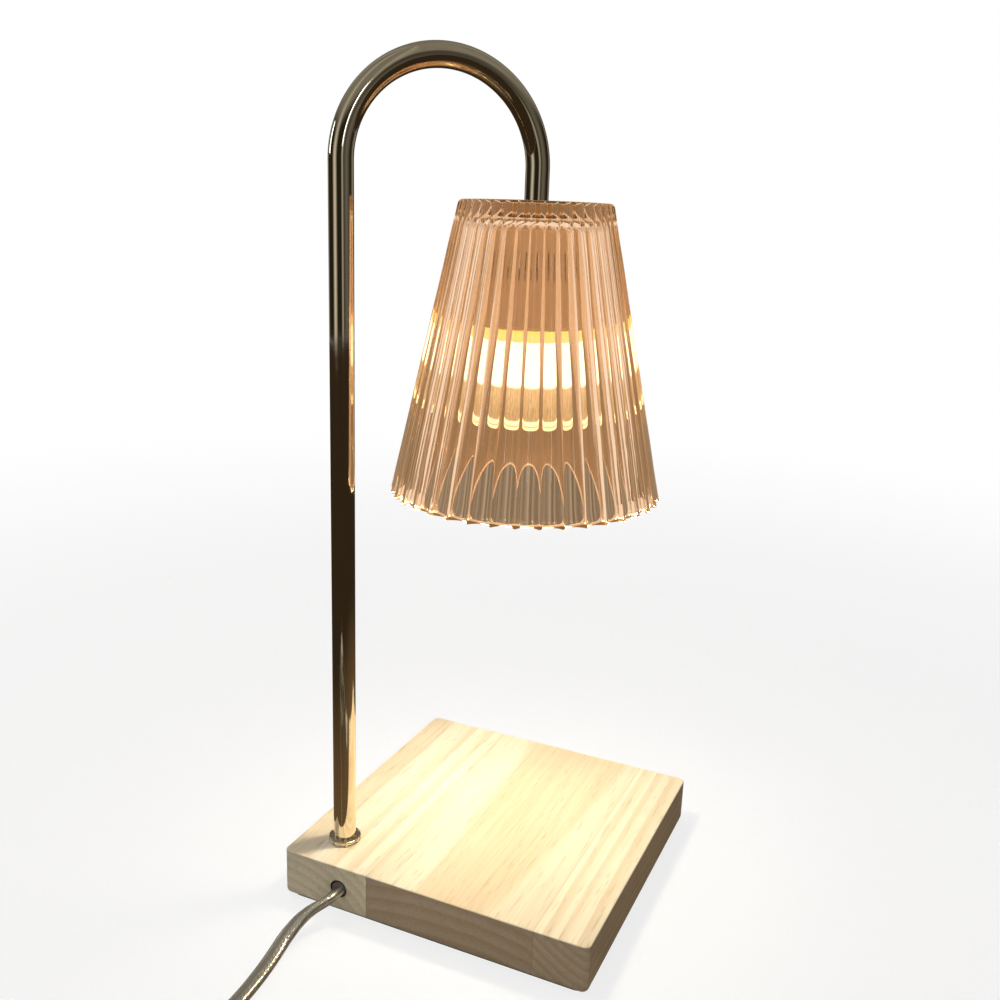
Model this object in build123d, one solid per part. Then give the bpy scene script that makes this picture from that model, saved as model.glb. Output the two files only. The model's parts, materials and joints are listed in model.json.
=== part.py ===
from build123d import *
import math
import os

# Candle warmer lamp: a wooden base board, a bent tube arm and a fluted glass shade round a
# twist-lock reflector bulb, with its mains cord, inline dimmer and plug.
# Millimetres, +Z up. The origin is the middle of the base's underside. +X runs along the front
# edge of the board, the front face looks to -Y, and the arm crosses the board's diagonal.

os.makedirs("parts", exist_ok=True)

# ------------------------------------------------------------------ driving sizes: the base
BOARD_SIDE = 145.0  # side of the square board
BOARD_T = 21.7  # thickness of the board
BOARD_CORNER_R = 3.0  # upright corners
BOARD_LOWER_ROUND = 2.0  # lower edge
BOARD_UPPER_ROUND = 0.6  # upper edge
PAD_T = 1.5  # foam pad under the board
PAD_INSET = 2.5  # pad edge to board edge
PAD_CORNER_R = 4.0
POLE_INSET = 19.6  # pole axis to the two nearest board edges
POCKET_WALL = 6.0  # wood left between the wiring pocket and the board's side faces
POCKET_SIDE = 48.0
POCKET_DEPTH = 15.0
POCKET_CORNER_R = 8.0
CORD_HOLE_D = 8.0  # hole in the front face for the cord
CORD_HOLE_OFF = 9.2  # hole to the pole's axis, along the front

# ------------------------------------------------------------------ driving sizes: the arm
TUBE_D = 10.0  # tube, threaded M10x1 at both ends
TUBE_WALL = 1.0
BEND_R = 40.7  # centre-line radius of the half-circle bend
ARM_AZIMUTH = 45.0  # direction of the arm over the board, degrees from +X
RIM_CLEARANCE = 158.7  # board top to the rim of the shade
STEM_SHOWN = 12.3  # straight tube between the bend and the top of the glass
TUBE_HOLE_CLEAR = 0.3  # tube to wood
SCREW_FIT = 0.05  # radial clearance of a shank in the hole that holds it
COLLAR_D = 14.4
COLLAR_H = 2.4
COLLAR_BEAD = 0.5  # rounding of the collar's two edges

# fasteners of the tube's foot
WASHER_D = 20.0
WASHER_T = 1.2
LOCK_WASHER_D = 16.0
LOCK_WASHER_T = 1.8
LOCK_WASHER_GAP = 1.6  # split of the spring washer
NUT_AF = 14.0  # across flats
FOOT_NUT_T = 4.5
TUBE_PAST_NUT = 0.8

# ------------------------------------------------------------------ driving sizes: the shade
GLASS_H = 124.0
GLASS_TOP_R = 32.1  # over the ridges
GLASS_RIM_R = 59.2  # over the ridges
FLUTES = 38
FLUTE_DEPTH = 0.296  # depth of a flute, as a share of its width
FLUTE_TURN = -4.05  # direction of one ridge, degrees from +X
GLASS_WALL = 6.0  # ridge to inner face, level
GLASS_TOP_T = 8.0  # thickness of the closed top
GLASS_TOP_ROUND = 1.6
GLASS_RIM_ROUND = 1.2
GLASS_INNER_ROUND = 4.5  # inside corner under the top
RIDGE_ROOM = 0.05  # ridges to the cone whose rounded edges cut them
GLASS_HOLE_D = 11.4
GLASS_RECESS_D = 24.0  # sunk seat for the upper nut
GLASS_RECESS_DEPTH = 3.6
TOP_GASKET_D = 21.0
TOP_GASKET_T = 0.8
RING_NUT_D = 18.0
RING_NUT_T = 2.4
RING_NUT_SLOT = 2.4  # width of the four spanner slots
LOWER_GASKET_D = 26.0
LOWER_GASKET_T = 1.0

# ------------------------------------------------------------------ driving sizes: the holder
CUP_D = 38.0
CUP_H = 42.4
CUP_WALL = 0.8
CUP_TOP_ROUND = 3.0
CUP_LIP = 0.7  # how far the rolled lip stands out
CUP_VENTS = 12
VENT_W = 3.0
VENT_H = 11.5
VENT_TOP = 11.0  # top of the cup to the top of the vents
BRACKET_T = 1.0
BRACKET_W = 15.0
BRACKET_LEG = 25.0
HOLDER_NUT_T = 3.0
LEAD_ROOM = 12.5  # tube end to the ceramic body
CERAMIC_D = 28.0
CERAMIC_FLAT = 26.8  # over the two flats under the bracket legs
CERAMIC_H = 14.0
CERAMIC_LIP_T = 2.2  # ceramic that the pin heads hook behind
PIN_CHAMBER_H = 4.6
BRACKET_SCREW_D = 3.0
BRACKET_SCREW_IN = 4.0  # screw in the ceramic
BRACKET_HEAD_D = 5.4
BRACKET_HEAD_T = 1.8
BRACKET_SCREW_Z = 8.4  # height of these screws over the ceramic's lower face
CONTACT_T = 0.8
LEAD_D = 2.0
LEAD_OFFSET = 2.5  # each lead off the tube's axis
TERMINAL_D = 2.6

# ------------------------------------------------------------------ driving sizes: the bulb
BULB_D = 50.0
BULB_BODY_H = 50.0  # front face to the shoulder at the pins
BULB_SEAT_GAP = 0.3
BULB_RIM_H = 3.0
BULB_GLASS_T = 1.5
BULB_NECK_R = 15.5
BULB_NECK_H = 42.0  # front face to where the cap begins
BULB_FULLNESS = 2.4  # power of the bowl's curve
BULB_CAP_R = 15.9
BULB_CAP_H = 2.5
BULB_BLOCK_L = 25.0
BULB_BLOCK_W = 18.0
BULB_BLOCK_R = 6.0
LENS_T = 2.0
LENS_SET = 0.7  # front glass behind the rim
PIN_PITCH = 10.0
PIN_NECK_D = 3.0
PIN_HEAD_D = 5.0
PIN_NECK_H = 2.8
PIN_HEAD_H = 3.1
PIN_CLEAR = 0.4
TWIST = 45.0  # turn from locked to released
CAPSULE_D = 9.0
CAPSULE_H = 24.0

# ------------------------------------------------------------------ driving sizes: the cord
CORD_D = 6.5
CORD_REST_Z = CORD_D / 2 + 0.05  # centre of a cord that lies on the surface
CORE_D = 2.8  # one insulated core of the twin cord
CORE_OFFSET = 1.6
CORE_LEVEL_RUN = 2.0  # straight start of a core at the sheath's end
SLEEVE_D = 5.0
SLEEVE_L = 13.0
CLAMP_W = 6.0
CLAMP_SPAN = 16.4  # between the clamp's two screws
CLAMP_T = 2.0
CLAMP_SCREW_D = 2.9
CLAMP_SCREW_IN = 4.5  # screw in the wood
CLAMP_HEAD_D = 5.5
CLAMP_HEAD_T = 1.8

# Free cord from the hole towards the dimmer: route points, chosen by hand.
FEED_ROUTE = [
    (-43.7, -72.5, 12.35),
    (-43.7, -79.5, 12.35),
    (-49.9, -88.5, 9.9),
    (-52.2, -99.0, 4.9),
    (-50.6, -112.0, CORD_REST_Z),
    (-48.4, -127.0, CORD_REST_Z),
    (-47.4, -143.0, CORD_REST_Z),
    (-49.5, -161.0, CORD_REST_Z),
    (-57.5, -181.5, CORD_REST_Z),
    (-67.5, -203.0, CORD_REST_Z),
    (-75.5, -225.5, CORD_REST_Z),
    (-79.3, -248.0, CORD_REST_Z),
    (-80.1, -270.0, CORD_REST_Z),
    (-78.8, -285.7, CORD_REST_Z),
    (-73.4, -297.6, CORD_REST_Z),
    (-64.3, -307.2, CORD_REST_Z),
    (-51.8, -312.6, 5.0),
]
END_RUN = 8.0  # level run of cord before a relief or the coil

# Coil of put-away cord, and the free cord on both sides of it.
COIL_CENTRE = (-28.0, -247.0)
COIL_RADII = (26.0, 32.6, 39.2)  # middle of the turns, the same in both layers
COIL_LAYERS = 2
COIL_STEP = 6.6  # from turn to turn
COIL_LIFT = 1.0  # the tie under the coil
COIL_IN_AZIMUTH = 90.0  # where the cord joins the lower layer
COIL_OUT_AZIMUTH = -40.0  # where it leaves the upper layer
COIL_STUB = 6.0
TIE_W = 8.0
TIE_T = 0.8
TIE_AZIMUTH = 200.0

DIMMER_CENTRE = (8.5, -302.2)
DIMMER_HEADING = 12.0
DIMMER_L = 52.0
DIMMER_W = 26.0
DIMMER_H = 15.5
DIMMER_SPLIT = 7.0
DIMMER_WALL = 1.8
DIMMER_EDGE_R = 2.6
RELIEF_L = 14.0
RELIEF_BIG_R = 5.0
RELIEF_SMALL_R = 3.7
RELIEF_NECK_R = 4.0
RELIEF_FLANGE_R = 4.8
RELIEF_FLANGE_T = 1.4
RELIEF_GROOVES = 4
WHEEL_D = 22.0
WHEEL_T = 4.0
WHEEL_GAP = 0.5
WHEEL_OUT = 3.0  # how far the wheel stands out of the side
WHEEL_KNURLS = 36
SPINDLE_D = 4.0
POT_SIDE = 12.0
PCB_T = 1.2
PCB_L = 28.0
PCB_W = 20.0
DIMMER_SCREW_D = 2.4
DIMMER_SCREW_SPAN = 35.0
DIMMER_BOSS_D = 5.4

PLUG_START = (66.3, -163.0)
PLUG_HEADING = 82.4
PLUG_AXIS_Z = 6.6
PLUG_RELIEF_L = 20.0
PLUG_L = 24.0
PLUG_W = 19.0
PLUG_T = 13.0
PLUG_EDGE_R = 3.0
BLADE_PITCH = 12.7
BLADE_T = 1.5
BLADE_W = 6.35
BLADE_L = 16.0
BLADE_IN = 5.0
BLADE_HOLE_D = 3.1

# ------------------------------------------------------------------ sizes worked out from these
BOARD_TOP = PAD_T + BOARD_T
POLE = -(BOARD_SIDE / 2 - POLE_INSET)
ARM_DIR = (math.cos(math.radians(ARM_AZIMUTH)), math.sin(math.radians(ARM_AZIMUTH)))
SHADE_X = POLE + 2 * BEND_R * ARM_DIR[0]
SHADE_Y = POLE + 2 * BEND_R * ARM_DIR[1]
RIM_Z = BOARD_TOP + RIM_CLEARANCE
GLASS_TOP_Z = RIM_Z + GLASS_H
BEND_Z = GLASS_TOP_Z + STEM_SHOWN
CEILING_Z = GLASS_TOP_Z - GLASS_TOP_T
RECESS_Z = GLASS_TOP_Z - GLASS_RECESS_DEPTH
CUP_TOP_Z = CEILING_Z - LOWER_GASKET_T
CUP_LOW_Z = CUP_TOP_Z - CUP_H
BRACKET_TOP_Z = CUP_TOP_Z - CUP_WALL
HOLDER_NUT_TOP_Z = BRACKET_TOP_Z - BRACKET_T
TUBE_END_Z = HOLDER_NUT_TOP_Z - HOLDER_NUT_T - TUBE_PAST_NUT
CERAMIC_TOP_Z = TUBE_END_Z - LEAD_ROOM
CERAMIC_LOW_Z = CERAMIC_TOP_Z - CERAMIC_H
BULB_TOP_Z = CERAMIC_LOW_Z - BULB_SEAT_GAP
BULB_FACE_Z = BULB_TOP_Z - BULB_BODY_H
CHAMBER_LOW_Z = CERAMIC_LOW_Z + CERAMIC_LIP_T
CHAMBER_TOP_Z = CHAMBER_LOW_Z + PIN_CHAMBER_H
CORD_HOLE_X = POLE + CORD_HOLE_OFF
POCKET_LOW = -BOARD_SIDE / 2 + POCKET_WALL
POCKET_MID = POCKET_LOW + POCKET_SIDE / 2
POCKET_TOP_Z = PAD_T + POCKET_DEPTH
CORD_HOLE_Z = PAD_T + BOARD_T / 2
FOOT_NUT_LOW_Z = POCKET_TOP_Z - WASHER_T - LOCK_WASHER_T - FOOT_NUT_T
TUBE_FOOT_Z = FOOT_NUT_LOW_Z - TUBE_PAST_NUT
TUBE_R = TUBE_D / 2
TUBE_BORE_R = TUBE_R - TUBE_WALL
SLOPE = (GLASS_RIM_R - GLASS_TOP_R) / GLASS_H  # outward lean of the glass

AT_POLE = Pos(POLE, POLE, 0) * Rot(0, 0, ARM_AZIMUTH)  # +X along the arm
AT_SHADE = Pos(SHADE_X, SHADE_Y, 0) * Rot(0, 0, ARM_AZIMUTH)  # +X along the arm


# ------------------------------------------------------------------ small shared tools
def cylinder(radius, low, high):
    """Upright cylinder on the Z axis between two heights."""
    return Pos(0, 0, low) * extrude(Circle(radius), high - low)


def ring(outer, inner, low, high):
    """Upright ring on the Z axis between two heights."""
    return Pos(0, 0, low) * extrude(Circle(outer) - Circle(inner), high - low)


def turned(points):
    """Solid turned about the Z axis from a closed outline of (radius, height) points."""
    outline = Polyline([(r, 0, z) for r, z in points], close=True)
    return revolve(make_face(outline), Axis.Z)


def hex_nut(across_flats, bore, low, high):
    """Plain hexagon nut with its two faces chamfered at the corners."""
    corner = across_flats / math.sqrt(3)
    blank = Pos(0, 0, low) * extrude(RegularPolygon(corner, 6), high - low)
    cut = (corner - across_flats / 2) * math.tan(math.radians(30))
    half = across_flats / 2
    dome = turned(
        [(0, low), (half, low), (corner, low + cut), (corner, high - cut), (half, high), (0, high)]
    )
    return (blank & dome) - cylinder(bore, low - 1, high + 1)


def rounded_plate(length, width, corner, low, high):
    """Flat plate with rounded upright corners."""
    return Pos(0, 0, low) * extrude(RectangleRounded(length, width, corner), high - low)


def round_sweep(path, radius):
    """Solid rod that follows a path."""
    section = Plane(origin=path @ 0, z_dir=path % 0) * Circle(radius)
    return sweep(section, path=path)


def route_radii(points):
    """Bend radius at each inner point: 0.45 of the shorter run over the tangent of half the turn."""
    spots = [Vector(*p) for p in points]
    radii = []
    for before, here, after in zip(spots, spots[1:], spots[2:]):
        run_in = here - before
        run_out = after - here
        half_turn = math.radians(run_in.get_angle(run_out)) / 2
        radii.append(0.45 * min(run_in.length, run_out.length) / math.tan(half_turn))
    return radii


def cord_tube(points, diameter, name):
    """Round tube of straight runs and tangent arcs through a cord's route points."""
    radii = route_radii(points)
    path = FilletPolyline(*points, radius=radii)
    tube = round_sweep(path, diameter / 2)
    expected = math.pi * diameter**2 / 4 * path.length
    print(name, "length", round(path.length, 1), "radii", [round(r, 1) for r in radii])
    print(name, "volume over section x length", round(tube.volume / expected, 5))
    return tube


def save(node, shape):
    """Write one node's solids to its own file."""
    solids = shape.solids() if hasattr(shape, "solids") else list(shape)
    kept = solids[0] if len(solids) == 1 else Compound(children=list(solids))
    export_step(kept, f"parts/{node}.step")


# ------------------------------------------------------------------ base
def clamp_places():
    """The two screw places of the cord clamp, in the board's frame."""
    x, y, _ = ENTRY_ROUTE[-1]
    middle = y - CLAMP_W / 2 - 1.0
    return [(x - CLAMP_SPAN / 2, middle), (x + CLAMP_SPAN / 2, middle)]


def base_board():
    """Square board with the tube hole, the wiring pocket below and the cord hole in front."""
    board = rounded_plate(BOARD_SIDE, BOARD_SIDE, BOARD_CORNER_R, PAD_T, BOARD_TOP)
    board = fillet(board.faces().sort_by(Axis.Z)[0].edges(), BOARD_LOWER_ROUND)
    board = fillet(board.faces().sort_by(Axis.Z)[-1].edges(), BOARD_UPPER_ROUND)
    pocket = Pos(POCKET_MID, POCKET_MID, 0) * rounded_plate(
        POCKET_SIDE, POCKET_SIDE, POCKET_CORNER_R, PAD_T - 1, POCKET_TOP_Z
    )
    tube_hole = Pos(POLE, POLE, 0) * cylinder(TUBE_R + TUBE_HOLE_CLEAR, PAD_T, BOARD_TOP + 1)
    front = Pos(CORD_HOLE_X, -BOARD_SIDE / 2 - 1, CORD_HOLE_Z) * Rot(-90, 0, 0)
    cord_hole = front * cylinder(CORD_HOLE_D / 2, 0, POCKET_WALL + 2)
    board = board - pocket - tube_hole - cord_hole
    for x, y in clamp_places():
        pilot = cylinder(CLAMP_SCREW_D / 2 + SCREW_FIT, POCKET_TOP_Z - 1, POCKET_TOP_Z + CLAMP_SCREW_IN + 0.3)
        board = board - Pos(x, y, 0) * pilot
    return board


def base_pad():
    """Foam pad glued under the board; it closes the wiring pocket."""
    side = BOARD_SIDE - 2 * PAD_INSET
    return rounded_plate(side, side, PAD_CORNER_R, 0, PAD_T)


# The cord inside the board: in through the front face, round the nut and under the clamp.
ENTRY_ROUTE = [
    (CORD_HOLE_X, -BOARD_SIDE / 2, CORD_HOLE_Z),
    (CORD_HOLE_X, -BOARD_SIDE / 2 + POCKET_WALL + 0.8, CORD_HOLE_Z),
    (CORD_HOLE_X + 5.4, -BOARD_SIDE / 2 + POCKET_WALL + 7.0, POCKET_TOP_Z - CORD_D / 2 - 0.4),
    (CORD_HOLE_X + 11.5, -BOARD_SIDE / 2 + POCKET_WALL + 13.2, POCKET_TOP_Z - CORD_D / 2 - 0.1),
    (CORD_HOLE_X + 13.4, -BOARD_SIDE / 2 + POCKET_WALL + 19.9, POCKET_TOP_Z - CORD_D / 2 - 0.05),
    (CORD_HOLE_X + 13.4, -BOARD_SIDE / 2 + POCKET_WALL + 30.0, POCKET_TOP_Z - CORD_D / 2 - 0.05),
]
SLEEVE_Z = PAD_T + SLEEVE_D / 2 + 1.0
SLEEVE_END_X = ENTRY_ROUTE[-1][0] - 6.0  # open end towards the cord
SLEEVE_YS = (POCKET_LOW + POCKET_SIDE - 11.4, POCKET_LOW + POCKET_SIDE - 5.9)


def cord_entry():
    """Sheathed cord from the hole in the front face to just past the clamp."""
    return cord_tube(ENTRY_ROUTE, CORD_D, "cord_entry")


def cord_cores():
    """The two insulated cores, from the end of the sheath to the crimp sleeves."""
    x, y, z = ENTRY_ROUTE[-1]
    cores = []
    for side, sleeve_y in zip((-1, 1), SLEEVE_YS):
        start = x + side * CORE_OFFSET
        points = [
            (start, y, z),
            (start, y + CORE_LEVEL_RUN, z),
            (start, sleeve_y, SLEEVE_Z),
            (SLEEVE_END_X, sleeve_y, SLEEVE_Z),
        ]
        path = FilletPolyline(*points, radius=[min(3.2, 1.7 * r) for r in route_radii(points)])
        cores.append(round_sweep(path, CORE_D / 2))
    return Compound(children=cores)


def splice_sleeves():
    """Two crimp sleeves that join the cord's cores to the lamp leads."""
    sleeves = []
    for y in SLEEVE_YS:
        blank = cylinder(SLEEVE_D / 2, 0, SLEEVE_L)
        blank = chamfer(blank.edges(), 0.5)
        sleeves.append(Pos(SLEEVE_END_X, y, SLEEVE_Z) * Rot(0, -90, 0) * blank)
    return Compound(children=sleeves)


def cord_clamp():
    """Saddle that presses the cord to the pocket's ceiling, with two screw feet."""
    x, _, z = ENTRY_ROUTE[-1]
    y = clamp_places()[0][1]
    arch_r = CORD_D / 2 + 0.05
    foot_r = CLAMP_HEAD_D / 2 + 0.6
    span = CLAMP_SPAN + 2 * foot_r
    arch = Pos(x, y, z) * Rot(90, 0, 0) * extrude(Circle(arch_r + CLAMP_T), CLAMP_W / 2, both=True)
    arch = arch & Pos(x, y, POCKET_TOP_Z - 10) * Box(span, CLAMP_W, 20)
    feet = Pos(x, y, POCKET_TOP_Z - CLAMP_T / 2) * Box(span, CLAMP_W, CLAMP_T)
    throat = Pos(x, y, z) * Rot(90, 0, 0) * extrude(Circle(arch_r), CLAMP_W, both=True)
    slot = Pos(x, y, z + 5) * Box(2 * arch_r, 2 * CLAMP_W, 10)
    saddle = arch + feet - throat - slot
    for sx, sy in clamp_places():
        hole = cylinder(CLAMP_SCREW_D / 2 + SCREW_FIT, POCKET_TOP_Z - CLAMP_T - 1, POCKET_TOP_Z + 1)
        saddle = saddle - Pos(sx, sy, 0) * hole
    return saddle


def clamp_screws():
    """Two pan-head screws through the clamp's feet into the wood."""
    low = POCKET_TOP_Z - CLAMP_T
    head = cylinder(CLAMP_HEAD_D / 2, low - CLAMP_HEAD_T, low)
    head = fillet(head.faces().sort_by(Axis.Z)[0].edges(), 0.8)
    screw = head + cylinder(CLAMP_SCREW_D / 2, low, POCKET_TOP_Z + CLAMP_SCREW_IN)
    slot = Pos(0, 0, low - CLAMP_HEAD_T) * Box(0.8, 3.4, 1.4)
    slots = slot + Rot(0, 0, 90) * slot
    return Compound(children=[Pos(x, y, 0) * (screw - slots) for x, y in clamp_places()])


# ------------------------------------------------------------------ arm
def arm_path(y_offset, low, end):
    """Up the pole, over the half circle and down to the shade, in the arm's own plane."""
    rise = Line((0, y_offset, low), (0, y_offset, BEND_Z))
    over = ThreePointArc(
        (0, y_offset, BEND_Z), (BEND_R, y_offset, BEND_Z + BEND_R), (2 * BEND_R, y_offset, BEND_Z)
    )
    drop = Line((2 * BEND_R, y_offset, BEND_Z), (2 * BEND_R, y_offset, end))
    return Wire([rise, over, drop])


def arm_tube():
    """One bent tube: pole, half-circle bend and the short drop into the shade."""
    path = arm_path(0, TUBE_FOOT_Z, TUBE_END_Z)
    section = Plane(origin=path @ 0, z_dir=path % 0) * (Circle(TUBE_R) - Circle(TUBE_BORE_R))
    return AT_POLE * sweep(section, path=path)


def pole_collar():
    """Polished collar that covers the hole round the pole's foot."""
    inner = TUBE_R + SCREW_FIT
    outer = COLLAR_D / 2
    top = BOARD_TOP + COLLAR_H
    body = ring(outer, inner, BOARD_TOP, top)
    rims = body.edges().filter_by(GeomType.CIRCLE).group_by(SortBy.RADIUS)[-1]
    body = fillet(rims, COLLAR_BEAD)
    waist = Pos(0, 0, BOARD_TOP + COLLAR_H / 2) * Torus(outer + 0.55, 0.9)
    return Pos(POLE, POLE, 0) * (body - waist)


def foot_washer():
    """Flat washer against the pocket's ceiling."""
    bore = TUBE_R + 0.2
    return Pos(POLE, POLE, 0) * ring(WASHER_D / 2, bore, POCKET_TOP_Z - WASHER_T, POCKET_TOP_Z)


def foot_lock_washer():
    """Split spring washer between the flat washer and the nut."""
    high = POCKET_TOP_Z - WASHER_T
    low = high - LOCK_WASHER_T
    body = ring(LOCK_WASHER_D / 2, TUBE_R + 0.2, low, high)
    gap = Rot(0, 0, 20) * Pos(LOCK_WASHER_D / 2, 0, (low + high) / 2)
    cut = gap * Rot(25, 0, 0) * Box(LOCK_WASHER_D, LOCK_WASHER_GAP, 4 * LOCK_WASHER_T)
    return Pos(POLE, POLE, 0) * (body - cut)


def foot_nut():
    """Hexagon nut that holds the tube in the board."""
    high = FOOT_NUT_LOW_Z + FOOT_NUT_T
    return Pos(POLE, POLE, 0) * Rot(0, 0, 15) * hex_nut(NUT_AF, TUBE_R + SCREW_FIT, FOOT_NUT_LOW_Z, high)


def lamp_leads():
    """Two sleeved leads from the crimp sleeves, up through the arm and into the lamp holder."""
    leads = []
    turn = Rot(0, 0, -ARM_AZIMUTH) * Pos(-POLE, -POLE, 0)
    lowest = SLEEVE_Z
    inside = TUBE_FOOT_Z + 6.0
    for side, sleeve_y in zip((-1, 1), SLEEVE_YS):
        offset = side * LEAD_OFFSET
        foot = (AT_POLE * Pos(0, offset, 0)).position
        points = [
            (SLEEVE_END_X - SLEEVE_L, sleeve_y, lowest),
            (foot.X, sleeve_y, lowest),
            (foot.X, foot.Y, lowest),
            (foot.X, foot.Y, inside),
        ]
        first_run = abs(points[0][0] - points[1][0])
        low = turn * FilletPolyline(*points, radius=[min(4.0, 0.9 * first_run), 2.2])
        high = arm_path(offset, inside, CHAMBER_TOP_Z)
        path = Wire(low.edges() + high.edges())
        leads.append(AT_POLE * round_sweep(path, LEAD_D / 2))
    return Compound(children=leads)


# ------------------------------------------------------------------ shade
def fluted_section(radius):
    """Level section of the glass: hollow flutes that meet in sharp ridges."""
    step = 2 * math.pi / FLUTES
    start = math.radians(FLUTE_TURN)
    depth = FLUTE_DEPTH * radius * step
    arcs = []
    for i in range(FLUTES):
        a, m, b = (start + step * (i + k) for k in (0, 0.5, 1))
        valley = radius * math.cos(step / 2) - depth
        arcs.append(
            ThreePointArc(
                (radius * math.cos(a), radius * math.sin(a)),
                (valley * math.cos(m), valley * math.sin(m)),
                (radius * math.cos(b), radius * math.sin(b)),
            )
        )
    return make_face(Wire(arcs))


def glass_envelope():
    """Plain cone just over the ridges with its top edge and its rim rounded."""
    low, high = RIM_Z, GLASS_TOP_Z
    low_r = GLASS_RIM_R + RIDGE_ROOM
    high_r = GLASS_TOP_R + RIDGE_ROOM
    outline = Polyline((0, 0, low), (low_r, 0, low), (high_r, 0, high), (0, 0, high), close=True)
    body = revolve(make_face(outline), Axis.Z)
    body = fillet(body.edges().filter_by(GeomType.CIRCLE).sort_by(Axis.Z)[-1], GLASS_TOP_ROUND)
    return fillet(body.edges().filter_by(GeomType.CIRCLE).sort_by(Axis.Z)[0], GLASS_RIM_ROUND)


def glass_hollow():
    """Smooth inside of the shade, rounded under the closed top, with the rim's inner edge eased."""
    low_r = GLASS_RIM_R - GLASS_WALL
    high_r = GLASS_RIM_R - SLOPE * (CEILING_Z - RIM_Z) - GLASS_WALL
    outline = Polyline(
        (0, 0, RIM_Z), (low_r, 0, RIM_Z), (high_r, 0, CEILING_Z), (0, 0, CEILING_Z), close=True
    )
    hollow = revolve(make_face(outline), Axis.Z)
    hollow = fillet(hollow.edges().filter_by(GeomType.CIRCLE).sort_by(Axis.Z)[-1], GLASS_INNER_ROUND)
    ease = turned(
        [
            (0, RIM_Z - 1),
            (low_r + GLASS_RIM_ROUND + 1, RIM_Z - 1),
            (low_r - GLASS_RIM_ROUND * SLOPE, RIM_Z + GLASS_RIM_ROUND),
            (0, RIM_Z + GLASS_RIM_ROUND),
        ]
    )
    return hollow + ease


def glass_shade():
    """Thick pressed-glass shade: fluted outside, smooth inside, sunk seat for the nut on top."""
    turn = Rot(0, 0, -ARM_AZIMUTH)
    sections = [
        Pos(0, 0, RIM_Z) * fluted_section(GLASS_RIM_R),
        Pos(0, 0, GLASS_TOP_Z) * fluted_section(GLASS_TOP_R),
    ]
    blank = turn * loft(sections, ruled=True)
    shade = (blank & glass_envelope()) - glass_hollow()
    shade = shade - cylinder(GLASS_HOLE_D / 2, CEILING_Z - 1, GLASS_TOP_Z + 1)
    shade = shade - cylinder(GLASS_RECESS_D / 2, RECESS_Z, GLASS_TOP_Z + 1)
    return AT_SHADE * shade


def top_gasket():
    """Silicone ring in the sunk seat, under the ring nut."""
    return AT_SHADE * ring(TOP_GASKET_D / 2, TUBE_R + 0.2, RECESS_Z, RECESS_Z + TOP_GASKET_T)


def top_ring_nut():
    """Thin slotted ring nut in the sunk seat, the stop above the glass."""
    low = RECESS_Z + TOP_GASKET_T
    high = low + RING_NUT_T
    nut = ring(RING_NUT_D / 2, TUBE_R + SCREW_FIT, low, high)
    slot = Pos(RING_NUT_D / 2, 0, high) * Box(4, RING_NUT_SLOT, RING_NUT_T)
    slots = [Rot(0, 0, 90 * i + 45) * slot for i in range(4)]
    return AT_SHADE * (nut - slots)


def lower_gasket():
    """Silicone ring between the glass and the holder's cup."""
    return AT_SHADE * ring(LOWER_GASKET_D / 2, TUBE_R + 0.2, CUP_TOP_Z, CEILING_Z)


# ------------------------------------------------------------------ lamp holder
def holder_cup():
    """Spun metal cup round the lamp holder, vented near the top and rolled at its lip."""
    r = CUP_D / 2
    outer = cylinder(r, CUP_LOW_Z, CUP_TOP_Z)
    outer = fillet(outer.faces().sort_by(Axis.Z)[-1].edges(), CUP_TOP_ROUND)
    inner = cylinder(r - CUP_WALL, CUP_LOW_Z - 1, CUP_TOP_Z - CUP_WALL)
    inner = fillet(inner.faces().sort_by(Axis.Z)[-1].edges(), CUP_TOP_ROUND - CUP_WALL)
    lip = Pos(0, 0, CUP_LOW_Z + CUP_LIP) * Torus(r, CUP_LIP)
    cup = outer + lip - inner
    cup = cup - cylinder(TUBE_R + 0.2, CUP_TOP_Z - 2 * CUP_WALL, CUP_TOP_Z + 1)
    middle = CUP_TOP_Z - VENT_TOP - VENT_H / 2
    vent = Pos(r, 0, middle) * Rot(0, 90, 0) * extrude(SlotOverall(VENT_H, VENT_W), 3, both=True)
    vents = [Rot(0, 0, (i + 0.5) * 360 / CUP_VENTS) * vent for i in range(CUP_VENTS)]
    return AT_SHADE * (cup - vents)


def bracket_reach():
    """Inner face of a bracket leg, off the axis."""
    return CERAMIC_FLAT / 2 + 0.1


def holder_bracket():
    """Steel strap over the ceramic body: a web under the cup's top and two legs."""
    reach = bracket_reach() + BRACKET_T
    low = BRACKET_TOP_Z - BRACKET_LEG
    strap = Pos(0, 0, (low + BRACKET_TOP_Z) / 2) * Box(2 * reach, BRACKET_W, BRACKET_LEG)
    strap = fillet(strap.edges().filter_by(Axis.Y).group_by(Axis.Z)[-1], 2 * BRACKET_T)
    inside = Pos(0, 0, (low + BRACKET_TOP_Z) / 2 - BRACKET_T) * Box(
        2 * bracket_reach(), BRACKET_W, BRACKET_LEG
    )
    inside = fillet(inside.edges().filter_by(Axis.Y).group_by(Axis.Z)[-1], BRACKET_T)
    strap = strap - inside
    strap = strap - cylinder(TUBE_R + 0.2, BRACKET_TOP_Z - 2 * BRACKET_T, BRACKET_TOP_Z + 1)
    across = Pos(0, 0, CERAMIC_LOW_Z + BRACKET_SCREW_Z) * Rot(0, 90, 0)
    holes = across * extrude(Circle(BRACKET_SCREW_D / 2 + SCREW_FIT), 2 * reach, both=True)
    return AT_SHADE * (strap - holes)


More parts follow.
